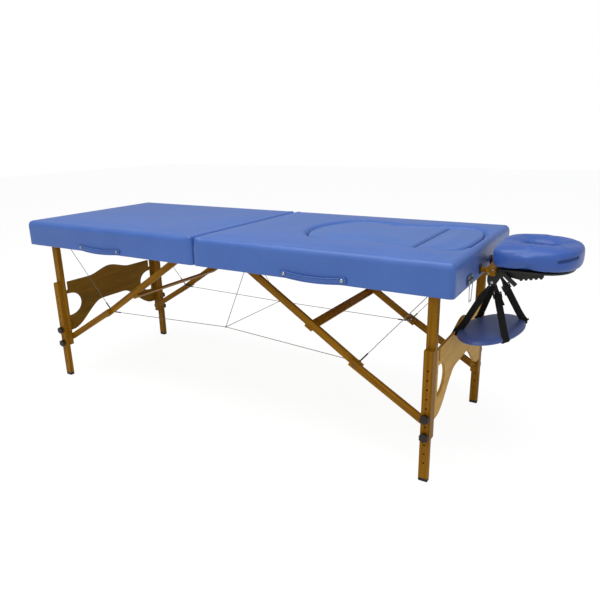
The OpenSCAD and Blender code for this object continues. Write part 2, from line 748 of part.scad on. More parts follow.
// Tension cables
knee_at = in_plane(knee);
junction = [0, junction_y, z_hinge - junction_drop];
anchor = [knee_at[0], cable_in_y, knee_at[1]];
function towards(a, b, d) = a + (b - a) * d / norm(b - a);

// Cable from a to b with a dark sleeve near a, ending just short of the post at a
module sleeved_cable(a, b) {
    start = towards(a, b, thimble_r);
    rod(start, b, cable_d, cable_fn);
    rod(towards(a, b, sleeve_at), towards(a, b, sleeve_at + sleeve_l), sleeve_d, cable_fn);
    translate(start) sphere(r = crimp_r, $fn = cable_fn);
}
module centre_cables() {
    color("#8F9296") placed() {
        both_sides() {
            sleeved_cable(anchor, junction);
            mirror([1, 0, 0]) sleeved_cable(anchor, junction);
            rod(junction, [0, 0, z_hinge - thimble_r], cable_d, cable_fn);
            translate(junction) sphere(r = bead_r, $fn = cable_fn);
        }
        rod(junction, [junction[0], -junction[1], junction[2]], cable_d, cable_fn);
        translate([0, 0, z_hinge - thimble_r]) sphere(r = pin_r, $fn = cable_fn);
    }
}
// Cable from the knee to the leg pivot
module end_cables() {
    top = [x_leg, cable_in_y, z_leg - bolt_head_r];
    both_sides() {
        sleeved_cable(anchor, top);
        rod(top, [x_leg, up_in_y - bolt_head_h, z_leg], cable_d, cable_fn);
        translate(top) sphere(r = crimp_r, $fn = cable_fn);
    }
}
module head_end_cables() { color("#8F9296") half(true) end_cables(); }
module foot_end_cables() { color("#8F9296") half(false) end_cables(); }

// Carrying handle on the near side: a strap on two rivets
handle_x = 484;
handle_span = 206;
handle_h = 27;
handle_tab = 15;
handle_t = 4;
handle_sag = 3;
handle_rise = 14.5;
handle_points = 12;
rivet_r = 6.5;
rivet_shank_r = 2.5;
rivet_h = 2.4;
module handle() {
    half_l = handle_span / 2 + handle_tab;
    face = -bed_w / 2 - skin_gap;
    zs = [for (i = [0:handle_points]) let (t = 2 * i / handle_points - 1)
        [handle_x + half_l * t, z_rail_low + handle_rise - handle_sag * (1 - t * t)]];
    difference() {
        translate([0, face, 0]) rotate([90, 0, 0]) linear_extrude(height = handle_t)
            polygon(concat([for (p = zs) p - [0, handle_h / 2]],
                [for (i = [handle_points:-1:0]) zs[i] + [0, handle_h / 2]]));
        for (s = [-1, 1]) across(handle_x + s * handle_span / 2, z_rail_low + handle_rise,
            face - handle_t - over, face + over, rivet_shank_r + run_gap, small_fn);
    }
    for (s = [-1, 1]) {
        x = handle_x + s * handle_span / 2;
        across(x, z_rail_low + handle_rise, face - handle_t, face, rivet_shank_r, small_fn);
        across(x, z_rail_low + handle_rise, face - handle_t - rivet_h / 2, face - handle_t, rivet_r, small_fn);
        across(x, z_rail_low + handle_rise, face - handle_t - rivet_h, face - handle_t - rivet_h / 2,
            rivet_r / 2, small_fn);
    }
}
module head_handle() { color("#4A70C4") half(true) handle(); }
module foot_handle() { color("#4A70C4") half(false) handle(); }

// Latch: plate and swinging bail on the head end, hook on the foot end
latch_y = -200;
latch_plate_w = 50;
latch_plate_h = 26;
latch_plate_t = 2;
latch_ear_t = 3;
latch_ear_h = 8;
// Distance from the ends of the bail's upper wire in to the ears
latch_ear_in = 5;
latch_rise = 22;
latch_z = z_rail_low + latch_rise;
wire_r = 1.5;
bail_taper = 0.1;
bail_stand = 3;
bail_x = half_out + skin_gap + latch_plate_t + bail_stand;
bail_half_top = 19;
bail_half_low = 11;
bail_l = 65;
bail_z = latch_z - bail_l;
catch_w = 10;
catch_h = 8;
catch_out = 8;
catch_gap = 4.5;
catch_plate_w = 24;
module latch_plate() {
    plate_x = half_out + skin_gap;
    color("#A9ABAE") placed() difference() {
        union() {
            translate([plate_x, latch_y - latch_plate_w / 2, latch_z - latch_plate_h / 2])
                cube([latch_plate_t, latch_plate_w, latch_plate_h]);
            for (s = [-1, 1])
                translate([plate_x, latch_y + s * (bail_half_top - latch_ear_in) - latch_ear_t / 2, latch_z - latch_ear_h / 2])
                    cube([bail_x - plate_x + 2 * wire_r, latch_ear_t, latch_ear_h]);
        }
        across(bail_x, latch_z, latch_y - latch_plate_w, latch_y + latch_plate_w, wire_r + run_gap, small_fn);
    }
}
module latch_bail() {
    color("#A9ABAE") placed() {
        across(bail_x, latch_z, latch_y - bail_half_top - wire_r, latch_y + bail_half_top + wire_r, wire_r, small_fn);
        across(bail_x, bail_z, latch_y - bail_half_low - wire_r, latch_y + bail_half_low + wire_r, wire_r, small_fn);
        for (s = [-1, 1])
            rod([bail_x, latch_y + s * bail_half_top, latch_z], [bail_x, latch_y + s * bail_half_low, bail_z],
                2 * (wire_r - bail_taper), small_fn);
    }
}
// With the halves folded shut this hook stands over the lower wire of the bail
module latch_catch() {
    plate_x = half_out + skin_gap;
    z = 2 * z_hinge - (bail_z + wire_r + catch_gap + catch_h / 2);
    color("#A9ABAE") half(false) {
        translate([plate_x, latch_y - catch_plate_w / 2, z - catch_h]) cube([latch_plate_t, catch_plate_w, 2 * catch_h]);
        translate([plate_x, latch_y - catch_w / 2, z - catch_h / 2]) cube([catch_out, catch_w, catch_h / 2]);
        translate([plate_x + catch_out - latch_plate_t, latch_y - catch_w / 2, z - catch_h / 2])
            cube([latch_plate_t, catch_w, catch_h]);
    }
}

// Face cradle

// Fixed part: two posts in a cross block, two cheeks, the tilt pin and the sling bar
base_z = z_rail_low + base_rise;
base_ledge = 16;
base_wall = 4;
cheek_low = sling_bar_z - 2 * sling_bar_r;
cheek_foot = 11;
cheek_neck = 5;
pin_over = 2;
block_half = post_y + base_ledge;
module cheek() {
    difference() {
        translate([0, cheek_y, 0]) rotate([90, 0, 0]) linear_extrude(height = cheek_t) union() {
            polygon([[base_x, base_z + base_h], [base_x + base_l, base_z + base_h], [tilt_x, tilt_z + hub_r - cheek_neck],
                [tilt_x + hub_r - cheek_neck, tilt_z], [tilt_x, tilt_z - hub_r], [sling_x + cheek_foot, cheek_low],
                [sling_x - cheek_foot, cheek_low], [base_x, sling_bar_z + sling_bar_r]]);
            translate([tilt_x, tilt_z]) circle(r = hub_r, $fn = round_fn);
        }
        across(tilt_x, tilt_z, cheek_y - cheek_t - over, cheek_y + over, tilt_pin_r + run_gap);
        across(sling_x, sling_bar_z, cheek_y - cheek_t - over, cheek_y + over, sling_bar_r + run_gap, small_fn);
    }
}
module headrest_base() {
    post_end = base_x + base_l - base_wall;
    color("#1D1B19") placed() {
        difference() {
            union() {
                translate([base_x, -block_half, base_z]) cube([base_l, 2 * block_half, base_h]);
                both_sides() cheek();
            }
            for (y = [-post_y, post_y]) translate([base_x - over, y, z_post]) rotate([0, 90, 0])
                cylinder(h = post_end - base_x + over, r = post_r + run_gap, $fn = round_fn);
        }
        for (y = [-post_y, post_y]) translate([frame_out - post_inside, y, z_post]) rotate([0, 90, 0])
            cylinder(h = post_end - slide_gap - frame_out + post_inside, r = post_r, $fn = round_fn);
        across(tilt_x, tilt_z, -cheek_y - lever_gap - lever_t - pin_over, cheek_y + pin_over, tilt_pin_r);
        across(sling_x, sling_bar_z, -cheek_y, cheek_y, sling_bar_r, small_fn);
    }
}

// Outline of the face cushion: a superellipse, nearly square on the table's side and round on the other
table_side_power = 5;
far_side_power = 2.4;
face_mid = [face_x + face_l / 2, 0];
function face_reach(t, n) = pow(pow(abs(cos(t)), n) + pow(abs(sin(t)), n), -1 / n);
function face_outline(grow_by, t) = face_mid + face_reach(t, cos(t) < 0 ? table_side_power : far_side_power)
    * [(face_l / 2 + grow_by) * cos(t), (face_w / 2 + grow_by) * sin(t)];
function hole_outline(grow_by, t) = face_mid
    + [(face_hole_l / 2 + grow_by) * cos(t), (face_hole_w / 2 + grow_by) * sin(t)];

// Moving part: the board under the cushion, on two arms with a row of teeth
board_back = 4;
board_hole_rim = 6;
arm_web = 16;
face_points = 48;
module cradle_arm() {
    end_x = tilt_x + arm_l;
    row_l = tooth_pitch * tooth_count;
    arm_low = board_z - arm_end_h - hub_r;
    difference() {
        translate([0, arm_y, 0]) rotate([90, 0, 0]) linear_extrude(height = arm_t) union() {
            translate([tilt_x, tilt_z]) circle(r = hub_r, $fn = round_fn);
            polygon([[tilt_x - board_back, board_z], [tilt_x - hub_r, tilt_z], [tilt_x, tilt_z - hub_r],
                [end_x - row_l, arm_low], [end_x, board_z - arm_end_h], [end_x, board_z - arm_web],
                [tilt_x + arm_l / 2, board_z]]);
            for (i = [0:tooth_count - 1]) let (t = (i + 1 / 2) / tooth_count)
                translate([end_x - row_l * (1 - t), arm_low + hub_r * t]) circle(r = tooth_r, $fn = small_fn);
        }
        across(tilt_x, tilt_z, arm_y - arm_t - over, arm_y + over, tilt_pin_r + run_gap);
    }
}
module cradle_platform() {
    color("#1D1B19") placed() {
        translate([0, 0, board_z]) linear_extrude(height = board_t) difference() {
            intersection() {
                polygon([for (i = [0:face_points - 1]) face_outline(-board_rim, 360 * i / face_points)]);
                translate([tilt_x - board_back, -face_w]) square([face_l, 2 * face_w]);
            }
            polygon([for (i = [0:face_points - 1]) hole_outline(board_hole_rim, 360 * i / face_points)]);
        }
        both_sides() cradle_arm();
    }
}

// Lever that clamps the tilt, on the near end of the tilt pin
lever_gap = 0.5;
lever_t = 8;
lever_l = 58;
lever_w = 12;
lever_hub_r = 10;
lever_blade_t = 6;
lever_angle = 40;
module cam_lever() {
    y1 = -cheek_y - lever_gap;
    color("#1D1B19") placed() difference() {
        union() {
            across(tilt_x, tilt_z, y1 - lever_t, y1, lever_hub_r);
            translate([tilt_x, y1 - lever_t, tilt_z]) rotate([0, lever_angle, 0]) translate([0, 0, -lever_w / 2])
                cube([lever_l, lever_blade_t, lever_w]);
        }
        across(tilt_x, tilt_z, y1 - lever_t - over, y1 + over, tilt_pin_r + run_gap);
    }
}

// Face cushion: a padded ring, slit on the table's side
face_sections = 30;
section_points = 14;
slit_angle = 1.2;
section_power = 0.62;
flat_share = 0.86;
function soften(c) = sign(c) * pow(abs(c), section_power);
function face_section(t) = let (a = hole_outline(0, t), b = face_outline(0, t), m = (a + b) / 2, h = (b - a) / 2)
    [for (i = [0:section_points - 1]) let (s = 360 * i / section_points, p = m + h * soften(cos(s)),
        z = face_z + slide_gap + face_t / 2 + face_t / 2 * min(max(soften(sin(s)), -flat_share), 1))
        [p[0], p[1], z + face_t / 2 * (flat_share - 1) * (1 - sin(s)) / 2]];
module face_cushion() {
    color("#3F66B5") placed() {
        rings = [for (i = [0:face_sections]) face_section(180 + slit_angle + (360 - 2 * slit_angle) * i / face_sections)];
        skin(rings, ring_mid(rings[0]), ring_mid(rings[face_sections]));
    }
}
function ring_mid(ring) = [for (k = [0:2]) (min([for (p = ring) p[k]]) + max([for (p = ring) p[k]])) / 2];

// Arm sling
pad_rings_shares = [[0.8, -0.42], [0.95, -0.27], [1, 0], [0.95, 0.27], [0.8, 0.42]];
sling_points = 32;
strap_seat_share = 0.78;
sling_seat_share = 0.46;
function sling_spot(x, y, z) = [sling_x + x * cos(sling_turn) - y * sin(sling_turn),
    x * sin(sling_turn) + y * cos(sling_turn), z];
function sling_ring(k, z) = [for (i = [0:sling_points - 1]) let (t = 360 * i / sling_points)
    sling_spot(k * sling_l / 2 * cos(t), k * sling_w / 2 * sin(t), z)];
module sling_pad() {
    color("#3F66B5") placed() {
        mid = sling_z - sling_t / 2;
        rings = [for (r = pad_rings_shares) sling_ring(r[0], mid + r[1] * sling_t)];
        skin(rings, [sling_x, 0, mid - sling_t / 2], [sling_x, 0, sling_z]);
    }
}
strap_angle = 40;
strap_loop_r = sling_bar_r + strap_t + slide_gap;
function strap_top(s, side) = [sling_x + s * strap_top_x, side * strap_y, sling_bar_z - strap_loop_r / 2];
function strap_low(s, side) = sling_spot(s * strap_seat_share * sling_l / 2 * cos(strap_angle),
    side * strap_seat_share * sling_w / 2 * sin(strap_angle),
    sling_z - sling_t / 2 + sling_seat_share * sling_t + over / 2);

// Flat strap from a down to b, with its broad face across the slope
module strap_run(a, b, w, t) {
    v = b - a;
    translate(a) rotate([0, acos(v[2] / norm(v)), atan2(v[1], v[0])])
        translate([-t / 2, -w / 2, 0]) cube([t, w, norm(v)]);
}
module sling_straps() {
    color("#1D1B19") placed() for (side = [-1, 1]) let (y = side * strap_y) difference() {
        union() {
            across(sling_x, sling_bar_z, y - strap_w / 2, y + strap_w / 2, strap_loop_r, small_fn);
            for (s = [-1, 1]) strap_run(strap_top(s, side), strap_low(s, side), strap_w, strap_t);
        }
        across(sling_x, sling_bar_z, y - strap_w, y + strap_w, sling_bar_r + slide_gap, small_fn);
    }
}
buckle_w = 8;
buckle_l = 20;
buckle_t = 7;
buckle_at = 34;
module sling_buckles() {
    color("#151413") placed() for (side = [-1, 1]) {
        a = towards(strap_top(1, side), strap_low(1, side), buckle_at);
        b = towards(strap_top(1, side), strap_low(1, side), buckle_at + buckle_l);
        difference() {
            strap_run(a, b, strap_w + buckle_w, buckle_t);
            strap_run(towards(a, b, -over), towards(a, b, buckle_l + over), strap_w + 2 * slide_gap, strap_t + 2 * slide_gap);
        }
    }
}

head_rails();
head_deck();
head_pad();
head_blocks();
belly_insert();
breast_insert();
foot_rails();
foot_deck();
foot_pad();
foot_blocks();
head_hinge_leaves();
foot_hinge_leaves();
hinge_pins();
centre_cables();
head_uprights();
foot_uprights();
head_leg_panel();
foot_leg_panel();
head_near_extension();
head_far_extension();
foot_near_extension();
foot_far_extension();
head_near_rubber();
head_far_rubber();
foot_near_rubber();
foot_far_rubber();
head_near_lower_knob();
head_near_upper_knob();
head_far_lower_knob();
head_far_upper_knob();
foot_near_lower_knob();
foot_near_upper_knob();
foot_far_lower_knob();
foot_far_upper_knob();
head_upper_braces();
head_crossbar();
head_lower_braces();
foot_upper_braces();
foot_crossbar();
foot_lower_braces();
head_leg_bolts();
foot_leg_bolts();
head_knee_bolts();
foot_knee_bolts();
head_brace_pins();
foot_brace_pins();
head_end_cables();
foot_end_cables();
head_handle();
foot_handle();
latch_bail();
latch_plate();
latch_catch();
headrest_base();
cradle_platform();
cam_lever();
face_cushion();
sling_pad();
sling_straps();
sling_buckles();
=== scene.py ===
# Looks of the folding massage bed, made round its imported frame.
# X runs towards the head end and the near side is at low Y. Shapes are written in millimetres and
# stored in metres.
import json
import math

import bmesh
import bpy
import numpy as np
from mathutils import Matrix, Vector
from mathutils.geometry import delaunay_2d_cdt

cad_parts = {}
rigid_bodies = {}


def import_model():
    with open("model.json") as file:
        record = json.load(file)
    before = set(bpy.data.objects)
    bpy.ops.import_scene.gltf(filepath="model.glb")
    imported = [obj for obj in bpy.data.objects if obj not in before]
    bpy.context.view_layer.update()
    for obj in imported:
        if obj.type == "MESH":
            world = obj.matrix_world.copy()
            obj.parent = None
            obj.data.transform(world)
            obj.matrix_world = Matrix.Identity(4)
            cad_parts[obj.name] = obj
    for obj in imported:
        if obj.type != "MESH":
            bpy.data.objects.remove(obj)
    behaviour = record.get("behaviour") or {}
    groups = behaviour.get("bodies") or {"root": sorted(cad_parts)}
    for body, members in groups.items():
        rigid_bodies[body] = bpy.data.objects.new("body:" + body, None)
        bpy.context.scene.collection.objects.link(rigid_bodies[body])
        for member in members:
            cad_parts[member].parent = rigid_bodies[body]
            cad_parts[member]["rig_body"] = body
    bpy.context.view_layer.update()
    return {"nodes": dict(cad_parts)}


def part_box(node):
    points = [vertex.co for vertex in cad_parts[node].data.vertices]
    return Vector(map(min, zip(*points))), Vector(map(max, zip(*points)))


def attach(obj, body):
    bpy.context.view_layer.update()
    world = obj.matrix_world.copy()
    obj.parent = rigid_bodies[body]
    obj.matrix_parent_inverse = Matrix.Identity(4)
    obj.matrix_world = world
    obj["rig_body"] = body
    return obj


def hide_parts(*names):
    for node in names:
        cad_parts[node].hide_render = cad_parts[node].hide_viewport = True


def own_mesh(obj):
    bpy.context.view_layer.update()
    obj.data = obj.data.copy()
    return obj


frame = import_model()

MM = 0.001
# The bed's two ends, each with its way along X
ENDS = {"head": 1, "foot": -1}

# Camera, from a fit to the table's corners and feet in a 600 x 600 image
FOCAL_MM = 33.63
SENSOR_MM = 36
CAMERA_AT = Vector((1178.7, -1808.7, 1064.8)) * MM
YAW, PITCH, ROLL = (math.radians(angle) for angle in (-31.21, 16.79, -1.17))
CLIP_END = 60


def linked(name, data):
    """New object in the scene."""
    made = bpy.data.objects.new(name, data)
    bpy.context.scene.collection.objects.link(made)
    return made


def camera():
    level_share = math.cos(PITCH)
    forward = Vector((math.sin(YAW) * level_share, math.cos(YAW) * level_share, -math.sin(PITCH)))
    level = Vector((math.cos(YAW), -math.sin(YAW), 0))
    upright = level.cross(forward)
    right = level * math.cos(ROLL) + upright * math.sin(ROLL)
    up = upright * math.cos(ROLL) - level * math.sin(ROLL)
    data = bpy.data.cameras.new("bed_camera")
    data.lens = FOCAL_MM
    data.sensor_width = SENSOR_MM
    data.clip_end = CLIP_END
    made = linked("bed_camera", data)
    rows = [(right[k], up[k], -forward[k], CAMERA_AT[k]) for k in range(3)]
    made.matrix_world = Matrix([*rows, (0, 0, 0, 1)])
    bpy.context.scene.camera = made


camera()


def tint(code):
    """Linear colour of an sRGB hex code."""
    parts = [int(code[i:i + 2], 16) / 255 for i in (1, 3, 5)]
    return (*(p / 12.92 if p <= 0.04045 else ((p + 0.055) / 1.055) ** 2.4 for p in parts), 1)


def add(tree, kind, inputs=None, stops=(), **settings):
    """Adds a node, a shader's by its short kind. Settings are its own. Inputs, by name or number,
    are values, sockets, or nodes for their first output. Stops are a colour ramp's positions and
    hex colours."""
    made = tree.nodes.new(kind if "Node" in kind else "ShaderNode" + kind)
    for name, value in settings.items():
        setattr(made, name, value)
    for key, value in (inputs or {}).items():
        if isinstance(value, bpy.types.Node):
            value = value.outputs[0]
        if isinstance(value, bpy.types.NodeSocket):
            tree.links.new(value, made.inputs[key])
        else:
            made.inputs[key].default_value = value
    for i, (at, code) in enumerate(stops):
        marks = made.color_ramp.elements
        mark = marks[i] if i < 2 else marks.new(at)
        mark.position, mark.color = at, tint(code)
    return made


def material(name):
    """Empty node material and its tree."""
    made = bpy.data.materials.new(name)
    made.use_nodes = True
    made.node_tree.nodes.clear()
    return made, made.node_tree


def surface(tree, colour, gloss, height, strength, depth_mm, under=None, sunk=False, **inputs):
    """Relief, shader and output at the end of a material."""
    relief = {"Height": height, "Strength": strength, "Distance": depth_mm * MM}
    if under:
        relief["Normal"] = under
    shader = {"Base Color": colour, "Roughness": gloss,
              "Normal": add(tree, "Bump", relief, invert=sunk)}
    shader.update({name.replace("_", " "): value for name, value in inputs.items()})
    add(tree, "OutputMaterial", {"Surface": add(tree, "BsdfPrincipled", shader)})


def shaded(tree, colour, mask, span, least):
    """Colour darkened to the least share as the mask crosses its span."""
    share = add(tree, "MapRange", {0: mask, 1: span[0], 2: span[1], 3: 1.0, 4: least})
    return add(tree, "VectorMath", {0: colour, "Scale": share}, operation="SCALE")


def per(millimetres):
    """Texture scale whose pattern repeats about once in that many millimetres."""
    return 1 / (millimetres * MM)


def drawn_out(length_mm, width_mm):
    """Texture scale that draws a pattern out along X."""
    return per(length_mm), per(width_mm), per(width_mm)


# Materials


def vinyl(name, light, dark, grain_mm=2.6):
    # Embossed PVC upholstery vinyl, calendered on cloth: a fine pebble grain, slow hollows from
    # the foam and a soft waxy gloss. The real grain is under 1 mm, and is drawn coarser so that
    # it shows.
    made, tree = material(name)
    place = add(tree, "TexCoord").outputs["Object"]
    broad = add(tree, "TexNoise", {"Vector": place, "Scale": per(170), "Detail": 3,
                                   "Roughness": 0.55})
    pebble = add(tree, "TexVoronoi", {"Vector": place, "Scale": per(grain_mm), "Smoothness": 0.6},
                 feature="SMOOTH_F1")
    hollow = add(tree, "TexNoise", {"Vector": place, "Scale": per(38), "Detail": 2})
    soft = add(tree, "Bump", {"Height": hollow, "Strength": 0.14, "Distance": 2 * MM})
    colour = add(tree, "ValToRGB", {0: broad}, stops=[(0.3, dark), (0.7, light)])
    gloss = add(tree, "MapRange", {0: broad, 1: 0.3, 2: 0.7, 3: 0.36, 4: 0.46})
    # The hollows of the pebble grain are painted darker: painted shade in the grain.
    surface(tree, shaded(tree, colour, pebble, (0.1, 0.75), 0.9), gloss, pebble, 0.25, 0.3,
            under=soft, sunk=True, Specular_IOR_Level=0.42, Sheen_Weight=0.03)
    return made


def beech(name, grain):
    # Beech, stained honey brown and sealed with a thin satin lacquer: straight fibres along each
    # stick and short dark flecks. grain is the turn of the fibres, as an XYZ rotation from X.
    made, tree = material(name)
    place = add(tree, "TexCoord").outputs["Object"]
    lined = add(tree, "Mapping", {"Vector": place, "Rotation": grain}, vector_type="TEXTURE")
    fibres = add(tree, "Mapping", {"Vector": lined, "Scale": drawn_out(260, 9)})
    specks = add(tree, "Mapping", {"Vector": lined, "Scale": drawn_out(14, 0.9)})
    band = add(tree, "TexNoise", {"Vector": fibres, "Scale": 1, "Detail": 5, "Roughness": 0.62,
                                  "Distortion": 0.35})
    fleck = add(tree, "TexNoise", {"Vector": specks, "Scale": 1, "Detail": 2})
    colour = add(tree, "ValToRGB", {0: band},
                 stops=[(0.28, "#664004"), (0.5, "#885B07"), (0.74, "#A0700D")])
    gloss = add(tree, "MapRange", {0: band, 1: 0.3, 2: 0.7, 3: 0.44, 4: 0.56})
    surface(tree, shaded(tree, colour, fleck, (0.56, 0.72), 0.7), gloss, fleck, 0.14, 0.25,
            Specular_IOR_Level=0.1)
    return made


def plywood(name, light, mid, dark, thickness_axis, face_turn):
    # Birch plywood, stained and lacquered: broad rotary-cut figure on its faces, and at its edges
    # plies of 1.5 mm, counted across the sheet and shown only where the face looks sideways.
    made, tree = material(name)
    coord = add(tree, "TexCoord").outputs["Object"]
    lined = add(tree, "Mapping", {"Vector": coord, "Rotation": face_turn}, vector_type="TEXTURE")
    flames = add(tree, "Mapping", {"Vector": lined, "Scale": drawn_out(420, 46)})
    fibres = add(tree, "Mapping", {"Vector": lined, "Scale": drawn_out(60, 1.6)})
    figure = add(tree, "TexNoise", {"Vector": flames, "Scale": 1, "Detail": 4, "Roughness": 0.5,
                                    "Distortion": 1.4})
    fibre = add(tree, "TexNoise", {"Vector": fibres, "Scale": 1, "Detail": 3})
    mixed = add(tree, "Math", {0: figure, 1: fibre}, operation="ADD")
    halved = add(tree, "Math", {0: mixed, 1: 0.5}, operation="MULTIPLY")
    colour = add(tree, "ValToRGB", {0: halved}, stops=[(0.34, dark), (0.5, mid), (0.64, light)])
    two_plies_mm = 3.0
    across = add(tree, "SeparateXYZ", {0: coord}).outputs[thickness_axis]
    layer = add(tree, "Math", {0: across, 1: per(two_plies_mm)}, operation="MULTIPLY")
    wave = add(tree, "Math", {0: layer}, operation="FRACT")
    dark_ply = add(tree, "Math", {0: wave, 1: 0.5}, operation="GREATER_THAN")
    normal = add(tree, "NewGeometry").outputs["Normal"]
    facing = add(tree, "SeparateXYZ", {0: normal}).outputs[thickness_axis]
    flat = add(tree, "Math", {0: facing}, operation="ABSOLUTE")
    edge = add(tree, "Math", {0: flat, 1: 0.5}, operation="LESS_THAN")
    both = add(tree, "Math", {0: dark_ply, 1: edge}, operation="MULTIPLY")
    surface(tree, shaded(tree, colour, both, (0, 1), 0.62), 0.5, fibre, 0.1, 0.2,
            Specular_IOR_Level=0.1)
    return made


def metal(name, light, dark, rough):
    # Zinc or nickel plated steel: a thin bright plating with faint cloudy patches and fine grit.
    made, tree = material(name)
    place = add(tree, "TexCoord").outputs["Object"]
    cloud = add(tree, "TexNoise", {"Vector": place, "Scale": per(26), "Detail": 4})
    grit = add(tree, "TexNoise", {"Vector": place, "Scale": per(1.4), "Detail": 2})
    colour = add(tree, "ValToRGB", {0: cloud}, stops=[(0.35, dark), (0.65, light)])
    gloss = add(tree, "MapRange", {0: grit, 1: 0.3, 2: 0.7, 3: rough, 4: rough + 0.12})
    surface(tree, colour, gloss, grit, 0.08, 0.1, Metallic=1.0)
    return made


def moulded(name, light, dark, rough, grain_mm, depth_mm=0.12):
    # Moulded plastic or rubber: the fine spark texture of its mould, polished on its high spots.
    made, tree = material(name)
    place = add(tree, "TexCoord").outputs["Object"]
    spark = add(tree, "TexNoise", {"Vector": place, "Scale": per(grain_mm), "Detail": 3})
    broad = add(tree, "TexNoise", {"Vector": place, "Scale": per(60), "Detail": 2})
    colour = add(tree, "ValToRGB", {0: broad}, stops=[(0.35, dark), (0.65, light)])
    gloss = add(tree, "MapRange", {0: spark, 1: 0.3, 2: 0.7, 3: rough - 0.06, 4: rough + 0.08})
    surface(tree, colour, gloss, spark, 0.25, depth_mm, Specular_IOR_Level=0.35)
    return made


def woven(name, light, dark, rib_mm=2.2):
    # Polypropylene webbing: ribs of twisted yarn across the strap, crossed by the warp. It follows
    # the strap's own UV map, in metres along and across.
    made, tree = material(name)
    place = add(tree, "UVMap", uv_map="along")
    weft = add(tree, "TexWave", {"Vector": place, "Scale": per(rib_mm) / 3.2, "Distortion": 0.6,
                                 "Detail": 1, "Detail Scale": 2}, bands_direction="X")
    warp = add(tree, "TexWave", {"Vector": place, "Scale": per(rib_mm) / 4.6, "Distortion": 0.3},
               bands_direction="Y")
    height = add(tree, "Math", {0: weft.outputs["Fac"], 1: warp.outputs["Fac"]},
                 operation="MULTIPLY")
    # Low spots of the weave are painted darker: painted shade in its hollows.
    colour = add(tree, "ValToRGB", {0: height}, stops=[(0.0, dark), (0.8, light)])
    surface(tree, colour, 0.75, height, 0.6, 0.5, Specular_IOR_Level=0.2)
    return made


def wire_rope(name):
    # Galvanised wire rope: strands laid in a steep helix, seen as fine slanting lines.
    made, tree = material(name)
    place = add(tree, "UVMap", uv_map="along")
    lay = add(tree, "TexWave", {"Vector": place, "Scale": per(2.6) / 6.3},
              bands_direction="DIAGONAL").outputs["Fac"]
    # The grooves between strands are painted darker: painted shade.
    colour = add(tree, "ValToRGB", {0: lay}, stops=[(0.1, "#4E4C48"), (0.8, "#97958E")])
    surface(tree, colour, 0.4, lay, 0.7, 0.4, Metallic=1.0)
    return made


QUARTER = math.radians(90)
BLUE = vinyl("upholstery_vinyl_blue", "#4469B2", "#3C62AA")
INSERT_BLUE = vinyl("insert_vinyl_blue", "#456CB4", "#3E65AB")
FACE_BLUE = vinyl("face_cushion_vinyl_blue", "#375CAA", "#2F539E")
# The sling's vinyl is drawn greyer and lighter than the bed's blue: a painted grey sheen on its top.
SLING_BLUE = vinyl("sling_vinyl_blue", "#4A609F", "#425794")
HANDLE_BLUE = vinyl("handle_vinyl_blue", "#4166AE", "#385CA2", grain_mm=2.0)
ALONG_X = beech("lacquered_beech_along", (0, 0, 0))
ALONG_Y = beech("lacquered_beech_across", (0, 0, QUARTER))
ALONG_Z = beech("lacquered_beech_upright", (0, QUARTER, 0))
PANEL_TURN = (QUARTER, 0, QUARTER)
# Both leg panels are the same birch plywood. The foot panel's darker colours are painted shade, for
# the shade under the table.
PANELS = {"head": plywood("honey_birch_plywood", "#D0A247", "#C3953D", "#A87C2E", 0, PANEL_TURN),
          "foot": plywood("birch_plywood_painted_shade", "#886316", "#7A5811", "#63460B", 0,
                          PANEL_TURN)}
DECK = plywood("deck_birch_plywood", "#C7A46C", "#B8935A", "#A37E46", 2, (0, 0, 0))
ZINC = metal("zinc_plated_steel", "#B9BABC", "#9C9D9F", 0.3)
YELLOW_ZINC = metal("yellow_passivated_zinc_bolt", "#8A6C3A", "#6E532A", 0.42)
# The latch plate's zinc is drawn darker than the other plating: painted shade, as dark as the shaded
# end of the table.
DULL = metal("zinc_plate_painted_shade", "#77787F", "#62636A", 0.5)
# The nickel is drawn with a faint blue tint: a painted reflection of the blue vinyl round the rivets.
NICKEL = metal("nickel_plated_rivet", "#A4AEBE", "#8A94A4", 0.28)
CABLE = wire_rope("galvanised_wire_rope")
BLACK = moulded("glass_filled_nylon_black", "#211F1C", "#171512", 0.45, 1.6)
KNOB_BLACK = moulded("moulded_phenolic_black", "#2A1A0E", "#1B110A", 0.46, 1.2)
RUBBER = moulded("rubber_foot_black", "#2B2725", "#1C1917", 0.74, 1.1, 0.25)
SLEEVE = moulded("cable_sleeve_pvc_black", "#1E1D1C", "#131212", 0.42, 2.0)
WEB = woven("polypropylene_webbing_black", "#22201C", "#0E0D0B")
THREAD = moulded("bonded_nylon_thread_blue", "#2C4A92", "#243F80", 0.6, 0.8)
# The seam strip's dark blue is painted shadow, for the shade in the face cushion's seam.
SEAM_SHADOW = moulded("seam_painted_shadow_blue", "#1D3A6E", "#142C58", 0.6, 0.8)


# Mesh tools


def body_of(node):
    return frame["nodes"][node]["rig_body"]


def box_mm(node):
    low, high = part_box(node)
    return np.array(low) / MM, np.array(high) / MM


def piece(name, verts, faces, finish, body=None, slot=None, smooth=True):
    """Mesh object from points in millimetres."""
    mesh = bpy.data.meshes.new(name)
    mesh.from_pydata((np.asarray(verts, float) * MM).tolist(), [],
                     [tuple(map(int, face)) for face in faces])
    mesh.materials.append(finish)
    if smooth:
        mesh.shade_smooth()
    made = linked(name, mesh)
    if body:
        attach(made, body)
    return made


def stands_for(obj, node):
    """Puts a finished piece in the place of a node."""
    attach(obj, body_of(node))
    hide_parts(node)
    return obj


def outwards(obj):
    """Turns every face of a closed mesh outwards, once its doubles are merged."""
    bm = bmesh.new()
    bm.from_mesh(obj.data)
    bmesh.ops.remove_doubles(bm, verts=bm.verts, dist=0.01 * MM)
    bmesh.ops.recalc_face_normals(bm, faces=bm.faces)
    bm.to_mesh(obj.data)
    bm.free()
    obj.data.shade_smooth()
    return obj


